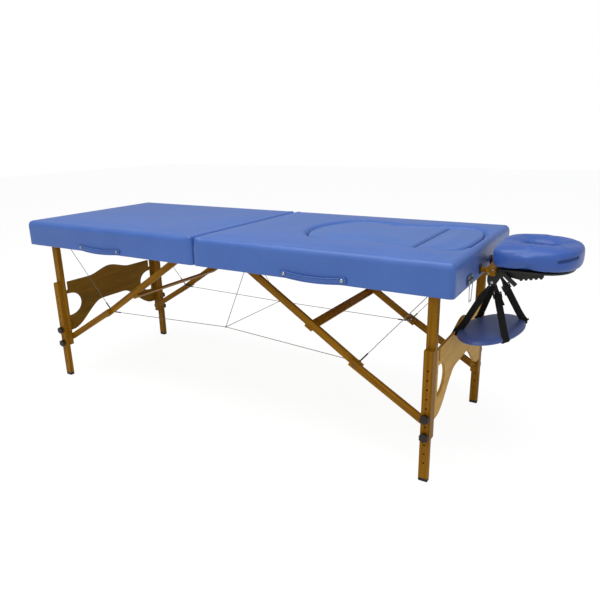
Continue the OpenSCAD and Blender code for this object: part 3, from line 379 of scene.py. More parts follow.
def settle(obj):
    """Turns a piece with live modifiers into a plain mesh."""
    bpy.context.view_layer.update()
    live = obj.evaluated_get(bpy.context.evaluated_depsgraph_get())
    plain = bpy.data.meshes.new_from_object(live)
    obj.modifiers.clear()
    obj.data = plain


def bevel(obj, width, least_turn):
    """Live bevel on the edges that turn by more than so many degrees."""
    cut = obj.modifiers.new("bevel", "BEVEL")
    cut.width = width * MM
    cut.segments = 2
    cut.limit_method = "ANGLE"
    cut.angle_limit = math.radians(least_turn)


def points_of(mesh):
    """Vertices of a mesh, in millimetres."""
    flat = np.empty(3 * len(mesh.vertices))
    mesh.vertices.foreach_get("co", flat)
    return flat.reshape(-1, 3) / MM


def put_points(mesh, points):
    mesh.vertices.foreach_set("co", (points * MM).ravel())
    mesh.update()


def unit(vectors):
    """A vector, or each row of several, at length 1."""
    vectors = np.asarray(vectors, float)
    return vectors / np.linalg.norm(vectors, axis=-1, keepdims=True)


def at_height(loop, z):
    """Flat points at one height."""
    return np.column_stack([loop, np.full(len(loop), z)])


def circle(count):
    """Angles once round, in radians."""
    return np.linspace(0, math.tau, count, endpoint=False)


def spline(points, steps):
    """Smooth curve through points, with steps pieces between neighbours."""
    pts = np.asarray(points, float)
    out = []
    for i in range(len(pts) - 1):
        a, b, c, d = pts[max(i - 1, 0)], pts[i], pts[i + 1], pts[min(i + 2, len(pts) - 1)]
        for t in np.arange(steps) / steps:
            out.append((2 * b + (c - a) * t + (2 * a - 5 * b + 4 * c - d) * t**2
                        + (3 * b - a - 3 * c + d) * t**3) / 2)
    return np.array([*out, pts[-1]])


def run_lengths(path):
    """Length gone at each point of a path."""
    return np.concatenate([[0], np.cumsum(np.linalg.norm(np.diff(path, axis=0), axis=1))])


def evenly(loop, step):
    """Closed loop walked again in steps of about that length."""
    ring = np.vstack([loop, loop[:1]])
    gone = run_lengths(ring)
    count = max(8, int(round(gone[-1] / step)))
    at = np.linspace(0, gone[-1], count, endpoint=False)
    return np.column_stack([np.interp(at, gone, column) for column in ring.T])


def grown(loop, by):
    """Closed loop moved outwards, for one that runs anticlockwise."""
    way = unit(np.roll(loop, -1, axis=0) - np.roll(loop, 1, axis=0))
    return loop + by * np.column_stack([way[:, 1], -way[:, 0]])


def within(points, loop):
    """Which points lie inside a closed loop."""
    x, y = points[:, 0][:, None], points[:, 1][:, None]
    x0, y0 = loop[:, 0], loop[:, 1]
    x1, y1 = np.roll(x0, -1), np.roll(y0, -1)
    crosses = (y0 > y) != (y1 > y)
    with np.errstate(divide="ignore", invalid="ignore"):
        at = (x1 - x0) * (y - y0) / (y1 - y0) + x0
    return (crosses & (x < at)).sum(axis=1) % 2 == 1


def distance(points, loop):
    """Distance from each point to a closed loop."""
    best = np.full(len(points), np.inf)
    for a, b in zip(loop, np.roll(loop, -1, axis=0)):
        d = b - a
        t = np.clip(((points - a) @ d) / (d @ d), 0, 1)
        best = np.minimum(best, np.linalg.norm(points - a - t[:, None] * d, axis=1))
    return best


def sheet_between(outer, holes, step):
    """Points and triangles that fill a loop round holes. The loops' own points come first."""
    low, high = outer.min(axis=0), outer.max(axis=0)
    row_share, clear_share = 0.87, 0.55
    rows = np.arange(low[1], high[1], step * row_share)
    grid = np.array([[x + (step / 2 if i % 2 else 0), y] for i, y in enumerate(rows)
                     for x in np.arange(low[0], high[0], step)])
    grid = grid[within(grid, outer)]
    keep = distance(grid, outer) > step * clear_share
    for hole in holes:
        keep &= ~within(grid, hole) & (distance(grid, hole) > step * clear_share)
    loops = [outer, *holes]
    points = np.vstack([*loops, grid[keep]])
    edges, start = [], 0
    for loop in loops:
        edges += [(start + i, start + (i + 1) % len(loop)) for i in range(len(loop))]
        start += len(loop)
    placed, _, tris, origins, *_ = delaunay_2d_cdt([Vector(p) for p in points], edges, [], 0, 1e-7)
    tris = np.array([list(face) for face in tris])
    home = np.array([origin[0] if origin else -1 for origin in origins])
    mids = np.array([tuple(v) for v in placed])[tris].mean(axis=1)
    good = within(mids, outer)
    for hole in holes:
        good &= ~within(mids, hole)
    tris = home[tris[good]]
    a, b, c = (points[tris[:, k]] for k in range(3))
    (ab_x, ab_y), (ac_x, ac_y) = (b - a).T, (c - a).T
    flip = ab_x * ac_y - ab_y * ac_x < 0
    tris[flip] = tris[flip][:, ::-1]
    return points, tris


def wall_faces(count, first, second):
    """Quads between two rings of points that start at those numbers."""
    return [(first + i, first + (i + 1) % count, second + (i + 1) % count, second + i)
            for i in range(count)]


def walls(count, rings):
    """Quads through rings that follow each other in the list of points."""
    return [face for k in range(rings - 1) for face in wall_faces(count, k * count, (k + 1) * count)]


def tube_mesh(rings):
    """Points and faces of a closed tube through rings of equal length."""
    count = len(rings[0])
    last = (len(rings) - 1) * count
    caps = [tuple(range(count))[::-1], tuple(range(last, last + count))]
    return np.vstack(rings), walls(count, len(rings)) + caps


def pad_mesh(rings, top, tris, base, under_step, holes=(), depths=()):
    """Points and faces of a closed pad: its walls through the rings, its top, whose first points
    stand for the last ring, the walls of a hole down to those depths, and a flat underside."""
    count = len(rings[0])
    start = (len(rings) - 1) * count
    verts = [*rings[:-1], top]
    faces = walls(count, len(rings)) + [tuple(start + t) for t in tris]
    lowest, total = start + count, start + len(top)
    for hole in holes:
        for z in depths:
            verts.append(at_height(hole, z))
            faces += wall_faces(len(hole), total, lowest)
            lowest, total = total, total + len(hole)
    flat, under = sheet_between(rings[0][:, :2], holes, under_step)
    verts.append(at_height(flat, base))
    faces += [tuple(total + t[::-1]) for t in under] + wall_faces(count, total, 0)
    for hole in holes:
        faces += wall_faces(len(hole), lowest, total + count)
    return np.vstack(verts), faces


def joined(parts):
    """One list of points and one of faces from several meshes."""
    verts, faces, start = [], [], 0
    for points, some in parts:
        verts.append(points)
        faces += [tuple(start + i for i in face) for face in some]
        start += len(points)
    return np.vstack(verts), faces


def tube(path, radius, sides=10):
    """Points and faces of a closed round tube along a path."""
    path = np.asarray(path, float)
    way = unit(np.gradient(path, axis=0))
    pick = np.eye(3)[np.argmin(np.abs(way).max(axis=0))]
    first = unit(np.cross(way, pick))
    second = np.cross(way, first)
    turn = circle(sides)
    return tube_mesh([p + radius * (np.outer(np.cos(turn), a) + np.outer(np.sin(turn), b))
                      for p, a, b in zip(path, first, second)])


# A smooth, repeatable unevenness made of a few slow waves
WAVES = np.random.default_rng(7).uniform(-1, 1, (9, 4))


def unevenness(points, length_mm):
    """Values about -1 to 1 that change over that length."""
    total = np.zeros(len(points))
    for wx, wy, wz, phase in WAVES:
        along = points[:, 0] * wx + points[:, 1] * wy + points[:, 2] * wz
        total += np.sin(along * math.tau / length_mm + 9 * phase)
    return total / 4


def fade(value):
    """Smooth step from 0 to 1."""
    t = np.clip(value, 0, 1)
    return t * t * (3 - 2 * t)


def bell(value, width):
    """1 at zero, and less to either side over a width."""
    return np.exp(-(value / width) ** 2)


# Geometry trees for what repeats


def repeat_tree(name, sizes):
    """Geometry tree with a geometry, named sizes and a finish as inputs, and its input sockets."""
    tree = bpy.data.node_groups.new(name, "GeometryNodeTree")
    kinds = {"Geometry": "Geometry", **dict.fromkeys(sizes, "Float"), "Finish": "Material"}
    for label, kind in kinds.items():
        tree.interface.new_socket(label, in_out="INPUT", socket_type="NodeSocket" + kind)
    tree.interface.new_socket("Geometry", in_out="OUTPUT", socket_type="NodeSocketGeometry")
    return tree, add(tree, "NodeGroupInput").outputs


def end_tree(tree, given, points, shape, way, axis):
    """Sets a shape on every point with its axis along the way, makes it real and finishes it."""
    turn = add(tree, "FunctionNodeAlignRotationToVector", {"Vector": way}, axis=axis)
    placed = add(tree, "GeometryNodeInstanceOnPoints",
                 {"Points": points, "Instance": shape, "Rotation": turn})
    real = add(tree, "GeometryNodeRealizeInstances", {0: placed})
    smooth = add(tree, "GeometryNodeSetShadeSmooth", {0: real})
    done = add(tree, "GeometryNodeSetMaterial", {"Geometry": smooth, "Material": given["Finish"]})
    add(tree, "NodeGroupOutput", {0: done})
    return tree


def stud_tree():
    """Domed heads on a thin collar, on each point and turned to its facing."""
    tree, given = repeat_tree("domed_heads", ["Head radius", "Dome share"])
    radius = given["Head radius"]
    ball = add(tree, "GeometryNodeMeshUVSphere", {"Segments": 20, "Rings": 8, "Radius": radius})
    flat = add(tree, "CombineXYZ", {0: 0.86, 1: 0.86, 2: given["Dome share"]})
    dome = add(tree, "GeometryNodeTransform", {"Geometry": ball, "Scale": flat})
    thin = add(tree, "Math", {0: radius, 1: 0.2}, operation="MULTIPLY")
    collar = add(tree, "GeometryNodeMeshCylinder",
                 {"Vertices": 20, "Radius": radius, "Depth": thin})
    both = add(tree, "GeometryNodeJoinGeometry", {0: dome})
    tree.links.new(collar.outputs[0], both.inputs[0])
    places = add(tree, "GeometryNodeMeshToPoints", {0: given["Geometry"]})
    facing = add(tree, "GeometryNodeInputNamedAttribute", {"Name": "facing"},
                 data_type="FLOAT_VECTOR")
    return end_tree(tree, given, places, both, facing, "Z")


def stitch_tree():
    """Short rounded lengths of thread or wire, laid along a path at even spacing."""
    tree, given = repeat_tree("laid_stitches", ["Spacing", "Length", "Thickness"])
    path = add(tree, "GeometryNodeMeshToCurve", {0: given["Geometry"]})
    places = add(tree, "GeometryNodeCurveToPoints", {"Curve": path, "Length": given["Spacing"]},
                 mode="LENGTH")
    bead = add(tree, "GeometryNodeMeshUVSphere", {"Segments": 6, "Rings": 5, "Radius": 0.5})
    size = add(tree, "CombineXYZ",
               {0: given["Length"], 1: given["Thickness"], 2: given["Thickness"]})
    thread = add(tree, "GeometryNodeTransform", {"Geometry": bead, "Scale": size})
    return end_tree(tree, given, places, thread, places.outputs["Tangent"], "X")


STUDS = stud_tree()
STITCHES = stitch_tree()


def repeated(name, tree, settings, points, body, facing=None, edges=()):
    """Runs a tree over points in millimetres, and keeps the result as a plain mesh."""
    mesh = bpy.data.meshes.new(name)
    mesh.from_pydata((np.asarray(points, float) * MM).tolist(), list(edges), [])
    if facing:
        ways = np.ravel([facing] * len(points))
        mesh.attributes.new("facing", "FLOAT_VECTOR", "POINT").data.foreach_set("vector", ways)
    made = linked(name, mesh)
    live = made.modifiers.new("repeat", "NODES")
    live.node_group = tree
    for item in tree.interface.items_tree:
        if item.in_out == "INPUT" and item.name in settings:
            live[item.identifier] = settings[item.name]
    settle(made)
    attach(made, body)
    return made


def heads(name, places, facing, radius, body, dome=0.45):
    settings = {"Head radius": radius * MM, "Dome share": dome, "Finish": NICKEL}
    repeated(name, STUDS, settings, places, body, facing=facing)


def stitches(name, paths, spacing, length, thickness, finish, body):
    settings = {"Spacing": spacing * MM, "Length": length * MM, "Thickness": thickness * MM,
                "Finish": finish}
    edges, start = [], 0
    for path in paths:
        edges += [(start + i, start + i + 1) for i in range(len(path) - 1)]
        start += len(path)
    return repeated(name, STITCHES, settings, np.vstack(paths), body, edges=edges)


# Upholstery of the two halves

RAIL_LOW = box_mm("head_rails")[0][2]
DECK_TOP = box_mm("head_deck")[1][2]
BED_TOP = box_mm("foot_pad")[1][2]
HEAD_END_X = box_mm("head_pad")[1][0]
HINGE_X, _, HINGE_Z = (sum(ends) / 2 for ends in zip(*box_mm("hinge_pins")))
CORNER_R = 14
PAD_STEP = 13
# Crown of the top, how far in it reaches, and the height of its rim
CROWN = 6
CROWN_RUN = 170
RIM_Z = BED_TOP - CROWN
# Rounded upper edge, and how far in the top has settled behind it
EDGE_R = 21
EDGE_H = 1.1 * EDGE_R
EDGE_BLEND = 40
# Sharper edge where the two halves meet, and how far, along and up, they lean together there
MEETING_R = 9
MEETING_LEAN = 6
LEAN_RUN = 45
LEAN_RISE = 30
# Cover turned in under the rails
SKIRT_T = 3
HEM_W = 16
HEM_T = 0.7
# How far the sides pull in, over what run from the corners, and the most that they have room for
WALL_DEPTH = 8
SIDE_DRAW = 1.6
SIDE_RUN = 90
COVER_ROOM = 3.2
# Dimples of the cover round the rivets
DIMPLE = 2.4
DIMPLE_R = 15
# Rounded lip of the inserts' pocket, the dip round it, and depths of the rings down its wall
LIP = 15
LIP_DROP = 0.82 * LIP
LIP_DIP = 1.8
POCKET_DEPTHS = (6, 16, 30)
# Handles: height of their rivets and distance of these from the handle's ends
HANDLE_TAB = 15
RIVET_Z = RAIL_LOW + 14.5


def round_box_loop(low, high, radius, step):
    """Rectangle with round corners, anticlockwise."""
    corners = [(high[0] - radius, high[1] - radius, 0), (low[0] + radius, high[1] - radius, 90),
               (low[0] + radius, low[1] + radius, 180), (high[0] - radius, low[1] + radius, 270)]
    points = [(x + radius * math.cos(math.radians(a + t)), y + radius * math.sin(math.radians(a + t)))
              for x, y, a in corners for t in np.linspace(0, 90, 16)]
    return evenly(np.array(points), step)


def inner_ring(outline, low, high, inset):
    """Loop further in than the outline's corner radius, with a point for each of its points."""
    mid, half = (low[:2] + high[:2]) / 2, (high[:2] - low[:2]) / 2
    last_safe = CORNER_R - 2
    return mid + (grown(outline, -last_safe) - mid) * (half - inset) / (half - last_safe)


def rounded_edge(radius, low, height, degrees):
    """Insets and heights of the rings round an upper edge."""
    return [(radius * (1 - math.cos(a)), low + height * math.sin(a)) for a in np.radians(degrees)]


def rivet_xs(end):
    low, high = box_mm(end + "_handle")
    return low[0] + HANDLE_TAB, high[0] - HANDLE_TAB


def drawn_in(points, low, high, rivets):
    """Moves the points of a pad's walls: the sides pull in, and the cover dimples at the rivets."""
    z = points[:, 2]
    mid, half = (low + high) / 2, (high - low) / 2
    off = np.abs(points - mid)
    height = np.clip((z - RAIL_LOW) / (BED_TOP - RAIL_LOW), 0, 1)
    belt = SIDE_DRAW * np.sin(math.pi * np.clip(height * 1.15, 0, 1))
    soft = 0.54 * unevenness(points, 190) + 0.21 * unevenness(points, 60)
    inward = np.zeros((len(points), 2))
    for axis, other in ((0, 1), (1, 0)):
        run = fade((half[other] - off[:, other]) / SIDE_RUN)
        on_wall = off[:, axis] > half[axis] - WALL_DEPTH
        inward[:, axis] = np.where(on_wall, run * (belt + soft), 0)
    near = points[:, 1] < low[1] + 12
    for x in rivets:
        across, up = points[:, 0] - x, z - RIVET_Z
        folds = 1 + 0.35 * np.cos(5 * np.arctan2(up, across))
        inward[:, 1] += near * DIMPLE * bell(np.hypot(across, up), DIMPLE_R) * folds
    out = points.copy()
    out[:, :2] -= np.sign(points[:, :2] - mid[:2]) * np.minimum(inward, COVER_ROOM)
    gap = points[:, 0] - HINGE_X
    lean = fade((z - DECK_TOP) / LEAN_RISE) * fade(1 - np.abs(gap) / LEAN_RUN)
    out[:, 0] += np.sign(gap) * MEETING_LEAN * lean
    return out


def upholstery(end, holes=()):
    """Cover of one half: crowned top, rounded edge, drawn-in sides, a hem under the rails, and the
    inserts' pocket where it has one."""
    name, node = end + "_upholstery", end + "_pad"
    low, high = box_mm(node)
    outline = round_box_loop(low, high, CORNER_R, 9)
    edge_low = RIM_Z - EDGE_H
    hem_z = RAIL_LOW - HEM_T
    profile = [(SKIRT_T, DECK_TOP), (SKIRT_T, RAIL_LOW), (SKIRT_T + HEM_W, RAIL_LOW),
               (SKIRT_T + HEM_W, hem_z), (2, hem_z), (0.6, RAIL_LOW + 0.6), (0, RAIL_LOW + 2.5)]
    profile += [(0, z) for z in np.linspace(RAIL_LOW + 8, edge_low, 11)]
    profile += rounded_edge(EDGE_R, edge_low, EDGE_H, np.linspace(11.25, 90, 8))
    at_meeting = fade(1.6 - np.abs(outline[:, 0] - HINGE_X) / 25)
    rings = []
    for inset, z in profile:
        plain = inset < CORNER_R - 1
        loop = grown(outline, -inset) if plain else inner_ring(outline, low, high, inset)
        ring = at_height(loop, z)
        if z > edge_low:
            turned_in = max(1 - inset / MEETING_R, 0)
            sharp_z = RIM_Z - MEETING_R * (1 - math.sqrt(1 - turned_in ** 2))
            ring[:, 2] += (sharp_z - z) * at_meeting
        rings.append(ring)
    top, tris = sheet_between(rings[-1][:, :2], holes, PAD_STEP)
    inward = distance(top, outline)
    rim_z = rings[-1][0, 2]
    settled = fade((inward - EDGE_R) / EDGE_BLEND)
    crowned = BED_TOP - CROWN * (1 - fade(inward / CROWN_RUN)) ** 2 + 0.3
    z = rim_z + (crowned - rim_z) * settled
    z += unevenness(np.column_stack([top, z]), 240) * 0.7 * settled
    for hole in holes:
        gap = distance(top, hole)
        t = np.clip(gap / LIP, 0, 1)
        z -= LIP_DROP * (1 - np.sqrt(1 - (1 - t) ** 2))
        z -= LIP_DIP * bell(gap, 30)
    verts, faces = pad_mesh(rings, np.column_stack([top, z]), tris, DECK_TOP, 60, holes,
                            [BED_TOP - LIP_DROP - depth for depth in POCKET_DEPTHS])
    made = outwards(piece(name, drawn_in(verts, low, high, rivet_xs(end)), faces, BLUE))
    stands_for(made, node)
    path = at_height(grown(outline, -HEM_W * 0.7), hem_z - 0.3)
    stitches(name + "_hem_staples", [np.vstack([path, path[:1]])], 42, 11, 1.1, ZINC,
             body_of(node))


# Outlines of the inserts, as shares of their length and half width
BELLY_SHARES = [(0.975, 0.985), (0.81, 0.87), (0.64, 0.8), (0.45, 0.93), (0.27, 0.95),
                (0.12, 0.78), (0.03, 0.44)]
BREAST_SHARES = [(0.06, 0.985), (0.36, 1), (0.66, 0.98), (0.87, 0.83), (0.98, 0.46)]
CORNER_SHARE = 0.94
INSERT_GAP = 1.5
INSERT_EDGE_R = 12


def insert_curve(shares, tip, low, high):
    """Rounded outline of an insert, without its straight edge."""
    full = [*shares, (tip, 0), *[(u, -v) for u, v in shares[::-1]]]
    mid, half = (low[1] + high[1]) / 2, (high[1] - low[1]) / 2
    return spline([(low[0] + u * (high[0] - low[0]), mid + v * half) for u, v in full], 8)


def insert_cushion(name, node, loop, dome):
    """Insert: a crowned pad with a rounded edge and straight walls."""
    base = box_mm(node)[0][2]
    ring = evenly(loop, 6)
    edge_low = BED_TOP + 0.6 - dome - INSERT_EDGE_R
    profile = [(1.5, base), (0.3, base + 2), (0, base + 6), (0, edge_low - 8)]
    profile += rounded_edge(INSERT_EDGE_R, edge_low, INSERT_EDGE_R, np.arange(0, 91, 15))
    rings = [at_height(grown(ring, -inset), z) for inset, z in profile]
    top, tris = sheet_between(rings[-1][:, :2], [], 9)
    inward = distance(top, ring) - INSERT_EDGE_R
    z = rings[-1][0, 2] + dome * (1 - (1 - fade(inward / 95)) ** 1.6)
    z += fade(inward / 40) * unevenness(np.column_stack([top, z]), 130) * 0.5
    verts, faces = pad_mesh(rings, np.column_stack([top, z]), tris, base, 45)
    made = stands_for(outwards(piece(name, verts, faces, INSERT_BLUE)), node)


def tops():
    """Both halves' covers, and the belly and breast inserts in the pocket of one."""
    belly_low, belly_high = box_mm("belly_insert")
    breast_low, breast_high = box_mm("breast_insert")
    belly = insert_curve(BELLY_SHARES, 0, belly_low, belly_high)
    breast = insert_curve(BREAST_SHARES, 1, breast_low, breast_high)[::-1]
    corner = CORNER_SHARE * (belly_high[1] - belly_low[1]) / 2
    belly_edge = [(belly_high[0], -corner), (belly_high[0], corner)]
    breast_edge = [(breast_low[0], corner), (breast_low[0], -corner)]
    pocket = grown(evenly(np.vstack([belly, breast]), 7), INSERT_GAP)
    upholstery("head", [evenly(pocket, 6)])
    upholstery("foot")
    insert_cushion("belly_cushion", "belly_insert", np.vstack([belly, belly_edge]), 6)
    insert_cushion("breast_cushion", "breast_insert", np.vstack([breast, breast_edge]), 8)


tops()


# Carrying handles: a padded vinyl strap with four corded ribs, on two rivets

HANDLE_SAG = 8
HANDLE_HALF_H = 13
HANDLE_SLIM = 2.5
HANDLE_T = 3
RIVET_R = 6.5
# Place across the handle, height and width of its ribs, and places of its two seams
RIBS = ((0.84, 1.5, 0.11), (0.3, 1.0, 0.1))
HANDLE_SEAMS = (-0.58, 0.58)
# How far the handle stands off the cover: everywhere, more in its middle, and less at a rivet
STAND_OFF, STAND_MIDDLE, STAND_RIVET = 0.4, 5, 2.2


def handle(end):
    node = end + "_handle"
    low, high = box_mm(node)
    mid_x, half_l, face = (low[0] + high[0]) / 2, (high[0] - low[0]) / 2, high[1]
    shares = np.linspace(-1, 1, 29)
    depths = HANDLE_T * np.sqrt(1 - np.abs(shares) ** 8)
    for at, rise, width in RIBS:
        for rib in (-at, at):
            depths += rise * bell(shares - rib, width) * (np.abs(shares) < 1)
    seams = [[] for _ in HANDLE_SEAMS]
    rings = []
    for t in np.sin(np.linspace(-0.5, 0.5, 61) * math.pi):
        x = mid_x + half_l * t
        mid_z = RIVET_Z - HANDLE_SAG * (1 - t * t)
        to_end = half_l * (1 - abs(t))
        cap = math.sqrt(max(1 - (1 - min(to_end / HANDLE_HALF_H, 1)) ** 2, 0.01))
        half_h = (HANDLE_HALF_H - HANDLE_SLIM * (1 - t ** 4)) * cap
        back = face - (STAND_OFF + STAND_MIDDLE * fade(1.25 * (1 - abs(t)))
                       - STAND_RIVET * bell(to_end - HANDLE_TAB, 9))
        outer = [(x, back - depth * cap ** 0.5, mid_z + half_h * share)
                 for share, depth in zip(shares, depths)]
        inner = [(x, back + 0.4, mid_z + half_h * share) for share in shares[::-4]]
        rings.append(np.array(outer + inner))
        if to_end > HANDLE_TAB + RIVET_R:
            for share, seam in zip(HANDLE_SEAMS, seams):
                seam.append((x, back - HANDLE_T - 0.15, mid_z + half_h * share))
    made = outwards(piece(end + "_carry_handle", *tube_mesh(rings), HANDLE_BLUE))
    stands_for(made, node)
    body = body_of(node)
    thread = stitches(node + "_stitches", seams, 5, 3.4, 0.9, THREAD, body)
    for soft in (made, thread):
        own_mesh(soft)
    places = [(x, face - HANDLE_T - 1.6, RIVET_Z) for x in rivet_xs(end)]
    heads(node + "_rivets", places, (0, -1, 0), RIVET_R, body)


for end in ENDS:
    handle(end)


# Face cushion: a foam ring under vinyl, blown up by a short cloth simulation

# Squareness of its outline towards the bed and away from it, and half sizes of its opening
FACE_POWERS = (5, 2.4)
FACE_HOLE_HALF = (47, 35)
# The ring stays open by this much to each side of the bed's direction
FACE_SLIT_DEG = 1.8
# How much smaller the form starts, with and without the simulation
SIM_SHRINK = 4
SIM_VOXEL = 5
SIM_PRESSURE = 4
SIM_STEPS = 20
SIM_CAP = 6
# Closing seam of the cover, low on the near and outer side, and how much it rises
SEAM_FROM, SEAM_TO = (math.radians(a) for a in (-60, -26))
SEAM_Z = 698
SEAM_RISE = 8
face_low, face_high = box_mm("face_cushion")
face_mid, face_half = (face_low + face_high) / 2, (face_high - face_low) / 2


def face_outline(angle):
    power = FACE_POWERS[0] if math.cos(angle) < 0 else FACE_POWERS[1]
    reach = (abs(math.cos(angle)) ** power + abs(math.sin(angle)) ** power) ** (-1 / power)
    return face_mid[:2] + face_half[:2] * reach * (math.cos(angle), math.sin(angle))


def face_section(angle, shrink):
    """Ring of points across the cushion at one angle about its middle."""
    inner = face_mid[:2] + np.array(FACE_HOLE_HALF) * (math.cos(angle), math.sin(angle))
    outer = face_outline(angle)
    mid, half = (inner + outer) / 2, np.linalg.norm(outer - inner) / 2 - shrink
    ring = []
    for s in circle(28):
        power, low_share = (0.54, 0.94) if math.sin(s) < 0 else (0.6, 1)
        across, up = (math.copysign(abs(v) ** power, v) for v in (math.cos(s), math.sin(s)))
        ring.append([*(mid + unit(outer - inner) * half * across),
                     face_mid[2] + (face_half[2] - shrink) * up * low_share])
    return np.array(ring)


def inflated(obj, floor):
    """Remeshes a closed form, blows it up as cloth, and holds each point near where it began."""
    grid = obj.modifiers.new("voxels", "REMESH")
    grid.mode = "VOXEL"
    grid.voxel_size = SIM_VOXEL * MM
    settle(obj)
    start = points_of(obj.data)
    cloth = obj.modifiers.new("cloth", "CLOTH")
    cloth.settings.use_pressure = True
    cloth.settings.uniform_pressure_force = SIM_PRESSURE
    cloth.settings.quality = 5
    cloth.settings.effector_weights.gravity = 0
    for step in range(1, SIM_STEPS + 1):
        bpy.context.scene.frame_set(step)
    settle(obj)
    moved = points_of(obj.data) - start
    length = np.linalg.norm(moved, axis=1)
    end = start + moved * np.minimum(1, SIM_CAP / np.maximum(length, 1e-6))[:, None]
    end[:, 2] = np.maximum(end[:, 2], floor)
    put_points(obj.data, end)
    bpy.context.scene.frame_set(1)


def face_cushion():
    angles = np.radians(np.linspace(180 + FACE_SLIT_DEG, 540 - FACE_SLIT_DEG, 110))
    shrink = SIM_SHRINK
    rings = [face_section(a, shrink) for a in angles]
    made = outwards(piece("face_ring_cushion", *tube_mesh(rings), FACE_BLUE))
    inflated(made, face_low[2])
    finer = made.modifiers.new("finer", "SUBSURF")
    finer.levels = finer.render_levels = 1
    settle(made)
    made.data.shade_smooth()
    points = points_of(made.data)
    flat = points[:, :2] - face_mid[:2]
    angle = np.arctan2(flat[:, 1] / face_half[1], flat[:, 0] / face_half[0])
    reach = np.linalg.norm(flat, axis=1)
    edge = np.array([np.linalg.norm(face_outline(a) - face_mid[:2]) for a in angle])
    # Shallow wrinkles run out from the opening over the top
    pull = 0.72 * np.cos(11 * angle + 0.01 * reach) + 0.45 * np.cos(17 * angle - 1)
    points[:, 2] += pull * fade((points[:, 2] - face_mid[2]) / 30) * bell(reach - 85, 30)
    # The cover is drawn down over the rim of the board
    low = fade((face_mid[2] - points[:, 2]) / 24)
    points[:, 2] -= 7 * low * fade((reach - edge + 19) / 6)
    # It is drawn in along its seam
    t = (angle - SEAM_FROM) / (SEAM_TO - SEAM_FROM)
    on_seam = fade(t * 8) * fade((1 - t) * 8) * (reach > edge - 22)
    draw = 4.5 * bell(points[:, 2] - (SEAM_Z + SEAM_RISE * t), 3.2) * on_seam
    points[:, :2] -= flat / reach[:, None] * draw[:, None]
    put_points(made.data, points)
    stands_for(made, "face_cushion")


face_cushion()


def seam_shadow_strip():
    """Dark strip of painted shadow that stands for the shade in the cushion's closing seam."""
    path = []
    for t in np.linspace(0.02, 0.98, 24):
        edge = face_outline(SEAM_FROM + (SEAM_TO - SEAM_FROM) * t)
        path.append([*(edge - 5 * unit(edge - face_mid[:2])), SEAM_Z + SEAM_RISE * t])
    outwards(piece("face_cushion_seam_shadow_strip", *tube(path, 1.5, 8), SEAM_SHADOW,
                   body_of("face_cushion"), "vinyl"))


seam_shadow_strip()


# Arm sling: a thin oval pad on webbing that loops over the bar

SLING_TURN = math.radians(-11)
SLING_HALF = (88, 175)
SLING_X = HEAD_END_X + 35
SLING_MID_Z = RAIL_LOW - 188
BAR_Z = RAIL_LOW - 16
# Shares of the pad's half widths, and heights above its middle
SLING_PROFILE = [(0.02, -11.2), (0.3, -11), (0.6, -10.6), (0.8, -9.6), (0.92, -7.4),
                 (0.975, -4.6), (0.985, -2.4), (1.0, -1.8), (1.008, 0), (1.0, 1.8), (0.985, 2.4),
                 (0.975, 4.8), (0.92, 7.8), (0.8, 9.8), (0.6, 10.8), (0.3, 11.3), (0.02, 11.5)]


def sling_spot(angle, share, lift):
    """Point of the sling pad, by an angle in degrees and a share of its half widths."""
    x = share * SLING_HALF[0] * math.cos(math.radians(angle))
    y = share * SLING_HALF[1] * math.sin(math.radians(angle))
    return np.array([SLING_X + x * math.cos(SLING_TURN) - y * math.sin(SLING_TURN),
                     x * math.sin(SLING_TURN) + y * math.cos(SLING_TURN), SLING_MID_Z + lift])


def sling_pad():
    rings = [np.array([sling_spot(math.degrees(a), share, lift) for a in circle(96)])
             for share, lift in SLING_PROFILE]
    points, faces = tube_mesh(rings)
    off_middle = np.linalg.norm((points[:, :2] - (SLING_X, 0)) / SLING_HALF[::-1], axis=1)
    points[:, 2] += 0.9 * unevenness(points, 90) * fade(1 - off_middle)
    made = stands_for(outwards(piece("sling_cushion", points, faces, SLING_BLUE)), "sling_pad")


sling_pad()


def ribbon(path, widths, width, thickness):
    """Points, faces and lengthwise map of a flat strap along a path, given its width's way."""
    path, widths = np.asarray(path, float), np.asarray(widths, float)
    way = unit(np.gradient(path, axis=0))
    side = unit(widths - (widths * way).sum(axis=1)[:, None] * way)
    normal = np.cross(way, side)
    # Places across the strap, and half its thickness there
    steps = np.array([-1, -0.9, -0.45, 0, 0.45, 0.9, 1]) * width / 2
    thin = np.array([0.3, 1, 1, 0.92, 1, 1, 0.3]) * thickness / 2
    section = [*zip(steps, thin), *zip(steps[::-1], -thin[::-1])]
    rings = [np.array([p + s * k + n * t for k, t in section])
             for p, s, n in zip(path, side, normal)]
    along = [(length, k) for length in run_lengths(path) for k, _ in section]
    return *tube_mesh(rings), along


def strip(name, parts, finish):
    """One piece from ribbons or ropes, with their lengthwise maps as its UV map, in metres."""
    made = piece(name, *joined([part[:2] for part in parts]), finish)
    along = [pair for part in parts for pair in part[2]]
    layer = made.data.uv_layers.new(name="along")
    for loop in made.data.loops:
        layer.data[loop.index].uv = [value * MM for value in along[loop.vertex_index]]
    return made


STRAP_W = 23
STRAP_T = 2.4
STRAP_Y = 42
# Places on the pad's rim, in degrees, of the inner and outer end of the far and near strap
STRAP_ENDS = {1: (156, 52), -1: (-144, -27)}
# A strap's run under and round the pad's edge, as shares of the pad's half widths and heights
STRAP_ROUND_EDGE = [(0.8, -10.8), (0.95, -8.2), (1.03, -3.5), (1.045, 0), (1.02, 5), (0.94, 11)]
# The way of a strap's width on its free run and on the bar
STRAP_FACING = np.array([0.85, 0.53, 0])
BAR_WAY = np.array([0, 1, 0])
BAR_LOOP_R = 5.8
STRAP_TOP_DROP = 5
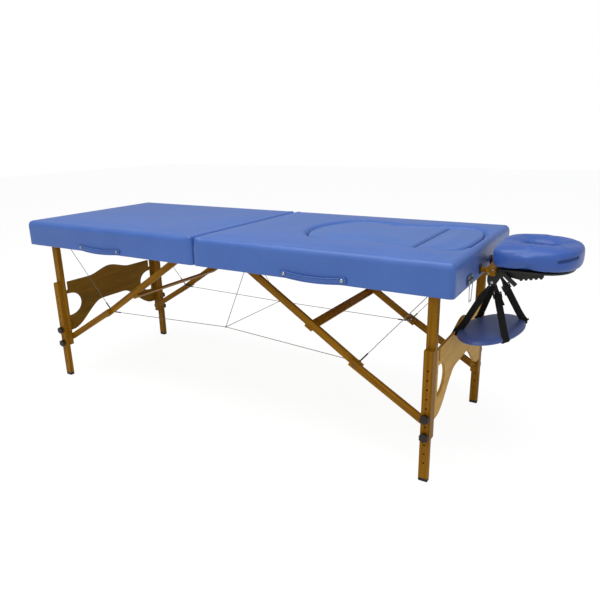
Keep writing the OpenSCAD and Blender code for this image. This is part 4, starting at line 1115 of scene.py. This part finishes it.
# Sliders of five bars: how far they sit below the bar, and how far their bars stand apart
SLIDER_DROP = 40
SLIDER_CROSSBARS = (-9, 0, 9)
SLIDER_SIDES = (-14, 14)
# Short end of strap that leaves a slider, as distances along it and out of it
STRAP_TAIL = [(-3, 2.5), (4, 4.5), (12, 6), (20, 8), (28, 11), (34, 13)]


def strap_run(side, end_way, angle):
    """Half of a strap: points and widths from under the pad's edge up to the bar."""
    top = np.array([SLING_X + end_way * BAR_LOOP_R, side * STRAP_Y, BAR_Z - STRAP_TOP_DROP])
    run = [sling_spot(angle, share, lift) for share, lift in STRAP_ROUND_EDGE]
    run = spline([*run, top + (sling_spot(angle, 0.9, 14) - top) * 0.85], 5)
    run = np.vstack([run, [run[-1] + (top - run[-1]) * t for t in np.linspace(0.08, 1, 14)]])
    rim = unit(sling_spot(angle + 1, 1, 0) - sling_spot(angle - 1, 1, 0))
    rim *= np.sign(rim[1])
    reach = np.linspace(0, 1, len(run))[:, None]
    free, looped = fade((reach - 0.22) / 0.2), fade((reach - 0.86) / 0.14)
    return run, rim * (1 - free) + (STRAP_FACING * (1 - looped) + BAR_WAY * looped) * free


def strap_path(side):
    """One strap of the sling: over the bar in its middle, and round the pad's edge at both ends."""
    inner, outer = (strap_run(side, *half) for half in zip((-1, 1), STRAP_ENDS[side]))
    arc = np.radians(np.linspace(180, 0, 13)[1:-1])
    loop = np.column_stack([SLING_X + BAR_LOOP_R * np.cos(arc), np.full(len(arc), side * STRAP_Y),
                            BAR_Z + BAR_LOOP_R * np.sin(arc)])
    return (np.vstack([inner[0], loop, outer[0][::-1]]),
            np.vstack([inner[1], [BAR_WAY] * len(arc), outer[1][::-1]]))


def bar_of(mid, axes, sizes):
    """Box along three axes, as points and faces."""
    signs = [(x, y, z) for z in (-1, 1) for x, y in ((-1, -1), (1, -1), (1, 1), (-1, 1))]
    corners = [mid + (np.array(sign) * sizes / 2) @ axes for sign in signs]
    faces = [(3, 2, 1, 0), (4, 5, 6, 7), (0, 1, 5, 4), (1, 2, 6, 5), (2, 3, 7, 6), (3, 0, 4, 7)]
    return np.array(corners), faces


def sling_straps():
    """Both straps with their loose ends, and a slider on the outer run of each."""
    parts, tails, bars = [], [], []
    for side in (-1, 1):
        path, widths = strap_path(side)
        parts.append(ribbon(path, widths, STRAP_W, STRAP_T))
        at = np.argmin(np.abs(path[:, 2] - (BAR_Z - SLIDER_DROP)) + 1e3 * (path[:, 0] < SLING_X))
        spot, way = path[at], unit(path[at + 1] - path[at - 1])
        cross = unit(widths[at] - (widths[at] @ way) * way)
        out = np.cross(way, cross)
        if out[0] * side > 0:
            out = -out
        axes = np.array([way, cross, out])
        bars += [bar_of(spot + way * step, axes, (3.2, 31, 4.6 if step else 6.4))
                 for step in SLIDER_CROSSBARS]
        bars += [bar_of(spot + cross * step, axes, (21, 3.2, 4.6)) for step in SLIDER_SIDES]
        tail = spline([spot + way * run + out * lift for run, lift in STRAP_TAIL], 4)
        tails.append(ribbon(tail, [cross] * len(tail), STRAP_W - 1, STRAP_T * 0.8))
    stands_for(strip("sling_webbing", parts + tails, WEB), "sling_straps")
    sliders = outwards(piece("sling_tri_glides", *joined(bars), BLACK))
    bevel(sliders, 0.8, 30)
    settle(sliders)
    sliders.data.shade_smooth()
    stands_for(sliders, "sling_buckles")


sling_straps()


# Cables: wire rope with swaged ferrules, thimbles and black sleeves

CABLE_R = 1.2
ROPE_SIDES = 10
# Knee posts, the bridle's junctions, and the cables' ends at the legs, from the hinge line
CABLE_Y = 237.7
ANCHOR_X = 591.6
ANCHOR_Z = 326.1
JUNCTION_Y = 193
JUNCTION_Z = HINGE_Z - 276
LEG_X = 850
LEG_Z = RAIL_LOW + 13
LEG_PIN_Y = 270.7


def rope(start, end, count=14):
    """Straight length of wire rope with its lengthwise map."""
    length = np.linalg.norm(np.subtract(end, start))
    along = [(length * i / (count - 1), math.tau * CABLE_R * k / ROPE_SIDES)
             for i in range(count) for k in range(ROPE_SIDES)]
    return *tube(np.linspace(start, end, count), CABLE_R, ROPE_SIDES), along


def thimble(at, away):
    """Teardrop eye of rope round a knee post, with its lengthwise map."""
    way = unit(np.subtract(away, at))
    lift = unit(np.cross(way, (0, 1, 0)))
    eye = [at + way * (10 - 14.5 * math.cos(a / 2) ** 2) + lift * 4.2 * math.sin(a)
           for a in np.linspace(0, math.tau, 25)]
    return *tube(eye, CABLE_R, 8), [(i * 2.0, k) for i in range(25) for k in range(8)]


def dressed_cable(start, end):
    """Rope with its eye, ferrule and sleeve, beginning at a knee post."""
    way = unit(np.subtract(end, start))
    first, ferrule_end, *sleeve = (start + way * reach for reach in (9, 16, 14, 16, 32, 48))
    return ([rope(first, end), thimble(start, end)],
            tube(np.linspace(first, ferrule_end, 6), 2.3, 14), tube(spline(sleeve, 4), 2.6, 14))


def bead(at, radius):
    """Small ball that clamps crossing ropes."""
    a = circle(14)
    return tube_mesh([at + radius * np.column_stack([math.cos(b) * np.cos(a),
                                                     math.cos(b) * np.sin(a),
                                                     np.full(len(a), math.sin(b))])
                      for b in np.linspace(-math.pi / 2, math.pi / 2, 9)[1:-1]])


def cable_set(name, ropes, ferrules, sleeves, body):
    """Pieces of one run of cables, all attached to one body."""
    pieces = [strip(name + "_ropes", ropes, CABLE),
              outwards(piece(name + "_ferrules", *joined(ferrules), ZINC)),
              outwards(piece(name + "_sleeves", *joined(sleeves), SLEEVE))]
    for made, slot in zip(pieces, ("cable_steel", "steel", "black_rubber")):
        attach(made, body)
        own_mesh(made)
    return pieces[0]


def centre_cables():
    """Long cables from the knees, and the bridle under the hinges that they meet."""
    apex = (HINGE_X, 0, HINGE_Z - 5)
    junctions = [(HINGE_X, side * JUNCTION_Y, JUNCTION_Z) for side in (-1, 1)]
    for end, sign in ENDS.items():
        found = [dressed_cable((HINGE_X + sign * ANCHOR_X, side * CABLE_Y, ANCHOR_Z), junction)
                 for side, junction in zip((-1, 1), junctions)]
        cable_set(end + "_centre_cable", found[0][0] + found[1][0], [f[1] for f in found],
                  [f[2] for f in found], end + "_half")
    clamps = [bead(apex, 2.4), *[bead(junction, 3.6) for junction in junctions]]
    outwards(piece("bridle_clamps", *joined(clamps), ZINC, "hinge_pin", "steel"))
    bridle = [*[rope(junction, apex) for junction in junctions], rope(*junctions)]
    stands_for(strip("bridle_ropes", bridle, CABLE), "centre_cables")


def end_cables(end, sign):
    """Cables from the knees to the legs' pivots."""
    ropes, ferrules, sleeves = [], [], []
    for side in (-1, 1):
        top = (HINGE_X + sign * LEG_X, side * CABLE_Y, LEG_Z - 7)
        found = dressed_cable((HINGE_X + sign * ANCHOR_X, side * CABLE_Y, ANCHOR_Z), top)
        ropes += [*found[0], rope(top, (top[0], side * LEG_PIN_Y, LEG_Z), 5)]
        ferrules += [found[1], bead(top, 2)]
        sleeves.append(found[2])
    made = cable_set(end + "_end_cable", ropes, ferrules, sleeves, end + "_legs")
    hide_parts(end + "_end_cables")


centre_cables()
for end, sign in ENDS.items():
    end_cables(end, sign)


# Rigid pieces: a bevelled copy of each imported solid

BRACE_SLOPE = math.radians(33.1)
SIDE_RAIL_Y = box_mm("head_rails")[1][1] - 20.1
# Headrest: its cross block with nylon cheeks between its parts, its posts, and the sling's bar
BLOCK_X = HINGE_X + 945
BLOCK_L = 28
BLOCK_LOW, BLOCK_HIGH = RAIL_LOW + 12, RAIL_LOW + 36
CHEEK_IN, CHEEK_OUT = 54, 65
POST_Y, POST_Z, POST_R = 75, RAIL_LOW + 26, 8.4
BAR_R = 4.3
HINGE_YS = (-236, 0, 236)
HINGE_SCREW_X = 19
LATCH_Y = -200
# Section of a grommet, as places out from the end of the table and radii
GROMMET = ((-1, 9.2), (2.4, 9.2), (3.2, 10), (3, 13.5), (2, 15), (0, 15.6), (-1, 15.6))


def dressed(node, name, finishes, width=1.2, choose=None):
    """Bevelled copy of a node, finished by the material that choose gives each face."""
    mesh = frame["nodes"][node].data.copy()
    mesh.materials.clear()
    for finish in finishes:
        mesh.materials.append(finish)
    bm = bmesh.new()
    bm.from_mesh(mesh)
    bmesh.ops.remove_doubles(bm, verts=bm.verts, dist=0.02 * MM)
    bmesh.ops.dissolve_limit(bm, angle_limit=math.radians(0.5), verts=bm.verts, edges=bm.edges)
    bm.to_mesh(mesh)
    bm.free()
    made = linked(name, mesh)
    bevel(made, width, 38)
    made.modifiers.new("weighted", "WEIGHTED_NORMAL").keep_sharp = True
    mesh.shade_smooth()
    settle(made)
    if choose:
        for face in made.data.polygons:
            face.material_index = choose(face.center / MM)
    stands_for(made, node)


def rail_finish(at):
    """Side rails run along the table, end rails across it."""
    return 0 if abs(at.y) > SIDE_RAIL_Y else 1


def base_finish(at):
    """Nylon cheeks, a beech cross block and dowels, steel pin and bar."""
    slack = 0.5
    in_block = (BLOCK_X - slack <= at.x <= BLOCK_X + BLOCK_L + slack
                and BLOCK_LOW - slack <= at.z <= BLOCK_HIGH + slack)
    if in_block and not CHEEK_IN < abs(at.y) < CHEEK_OUT:
        return 1
    if math.hypot(abs(at.y) - POST_Y, at.z - POST_Z) < POST_R and at.x < BLOCK_X:
        return 3
    return 2 if math.hypot(at.x - SLING_X, at.z - BAR_Z) < BAR_R else 0


def half_bed(end, sign):
    """Woodwork, fastenings and feet of one half: end of the node's name, the piece's, finish and
    bevel."""
    slanted = beech("lacquered_beech_brace_" + end, (0, sign * BRACE_SLOPE, 0))
    dressed(end + "_rails", end + "_frame_rails", [ALONG_X, ALONG_Y], choose=rail_finish)
    for node, name, finish, width in (
            ("deck", "deck_sheet", DECK, 0.5), ("blocks", "pivot_blocks", ALONG_X, 1.2),
            ("uprights", "leg_uprights", ALONG_Z, 1.4),
            ("leg_panel", "plywood_panel", PANELS[end], 1.2),
            ("upper_braces", "upper_brace_bars", slanted, 1.2),
            ("lower_braces", "lower_brace_bars", slanted, 1.2),
            ("crossbar", "brace_crossbar", ALONG_Y, 1.2),
            ("hinge_leaves", "hinge_leaves_plated", ZINC, 0.5),
            ("leg_bolts", "leg_bolts_plated", YELLOW_ZINC, 0.5),
            ("knee_bolts", "knee_bolts_plated", YELLOW_ZINC, 0.5),
            ("brace_pins", "brace_pins_plated", YELLOW_ZINC, 0.5)):
        dressed(f"{end}_{node}", f"{end}_{name}", [finish], width)
    for at in (end + "_near", end + "_far"):
        dressed(at + "_extension", at + "_leg_extension", [ALONG_Z])
        dressed(at + "_rubber", at + "_rubber_foot", [RUBBER])
        for level in ("lower", "upper"):
            dressed(f"{at}_{level}_knob", f"{at}_{level}_lobed_knob", [KNOB_BLACK], 1.0)
    screws = [(HINGE_X + sign * HINGE_SCREW_X, y + step, RAIL_LOW - 2)
              for y in HINGE_YS for step in (-30, 0, 30)]
    heads(end + "_hinge_screws", screws, (0, 0, -1), 3.4, end + "_half", 0.35)


def grommets():
    """Rings in the end of the table round the headrest posts."""
    turn = circle(32)
    count, rings = len(turn), len(GROMMET)
    faces = [face for k in range(rings)
             for face in wall_faces(count, k * count, (k + 1) % rings * count)]
    parts = [(np.vstack([np.column_stack([np.full(count, HEAD_END_X + x), y + radius * np.cos(turn),
                                          POST_Z + radius * np.sin(turn)])
                         for x, radius in GROMMET]), faces) for y in (-POST_Y, POST_Y)]
    outwards(piece("post_grommets", *joined(parts), BLACK, "head_half", "black_plastic"))


for end, sign in ENDS.items():
    half_bed(end, sign)
dressed("hinge_pins", "hinge_pins_plated", [ZINC], 0.4)
dressed("latch_plate", "latch_plate_plated", [DULL], 0.4)
dressed("latch_catch", "latch_hook_plated", [ZINC], 0.4)
dressed("latch_bail", "latch_wire_bail", [ZINC], 0.2)
dressed("headrest_base", "headrest_cross_block", [BLACK, ALONG_Y, ZINC, ALONG_X],
        choose=base_finish)
dressed("cradle_platform", "toothed_cradle", [BLACK])
dressed("cam_lever", "clamp_lever_blade", [BLACK], 1.5)
heads("cross_block_screws",
      [(BLOCK_X + step, -POST_Y - 16, BLOCK_LOW - 2 + step) for step in (8, 20)],
      (0, -1, 0), 3, "headrest", 0.4)
heads("latch_plate_screws",
      [(HEAD_END_X + 2.4, LATCH_Y + step, RAIL_LOW + 30) for step in (-20, 20)],
      (1, 0, 0), 2.8, "head_half", 0.4)
grommets()


# Stage: pale floor, plain soft light

FLOOR_MM = 14000
FLOOR_Z = -0.4
# Share and strength of the floor's own white where it is seen, and strength of the sky's fill
GLOW_SHARE = 0.82
GLOW = 1.1
FILL = 0.5
# Name, place and aim in millimetres, width and height in metres, power in watts
LAMPS = [("overhead_softbox", (0, -750, 3200), (0, 0, 400), 3.4, 2.2, 82),
         ("front_softbox", (-600, -4300, 2300), (0, 0, 500), 2.4, 2.2, 22),
         ("right_softbox", (3400, -2200, 1600), (600, 0, 500), 1.6, 1.6, 10)]


def floor():
    made, tree = material("studio_floor_matte_white")
    rays = add(tree, "LightPath").outputs
    seen = rays["Is Camera Ray"]
    for kind in ("Is Glossy Ray", "Is Transmission Ray"):
        seen = add(tree, "Math", {0: seen, 1: rays[kind]}, operation="MAXIMUM")
    share = add(tree, "Math", {0: seen, 1: GLOW_SHARE}, operation="MULTIPLY")
    matte = add(tree, "BsdfDiffuse", {"Color": tint("#F2F2F0")})
    glow = add(tree, "Emission", {"Color": tint("#FFFFFF"), "Strength": GLOW})
    shown = add(tree, "MixShader", {0: share, 1: matte, 2: glow})
    add(tree, "OutputMaterial", {"Surface": shown})
    corners = [(x * FLOOR_MM, y * FLOOR_MM, FLOOR_Z)
               for x, y in ((-1, -1), (1, -1), (1, 1), (-1, 1))]
    piece("studio_floor", corners, [(0, 1, 2, 3)], made, smooth=False)


def sky():
    world = bpy.data.worlds.new("studio_light")
    bpy.context.scene.world = world
    world.use_nodes = True
    tree = world.node_tree
    tree.nodes.clear()
    seen = add(tree, "LightPath").outputs["Is Camera Ray"]
    fill = add(tree, "Background", {"Color": tint("#F4F6FA"), "Strength": FILL})
    white = add(tree, "Background", {"Color": tint("#FFFFFF"), "Strength": 1.0})
    add(tree, "OutputWorld", {"Surface": add(tree, "MixShader", {0: seen, 1: fill, 2: white})})


def lamp(name, at, aim, wide, tall, power):
    data = bpy.data.lights.new(name, "AREA")
    data.shape = "RECTANGLE"
    data.size, data.size_y = wide, tall
    data.energy = power
    made = linked(name, data)
    made.location = Vector(at) * MM
    made.rotation_euler = (Vector(aim) - Vector(at)).to_track_quat("-Z", "Y").to_euler()


floor()
sky()
for details in LAMPS:
    lamp(*details)
bpy.context.scene.view_settings.view_transform = "Standard"
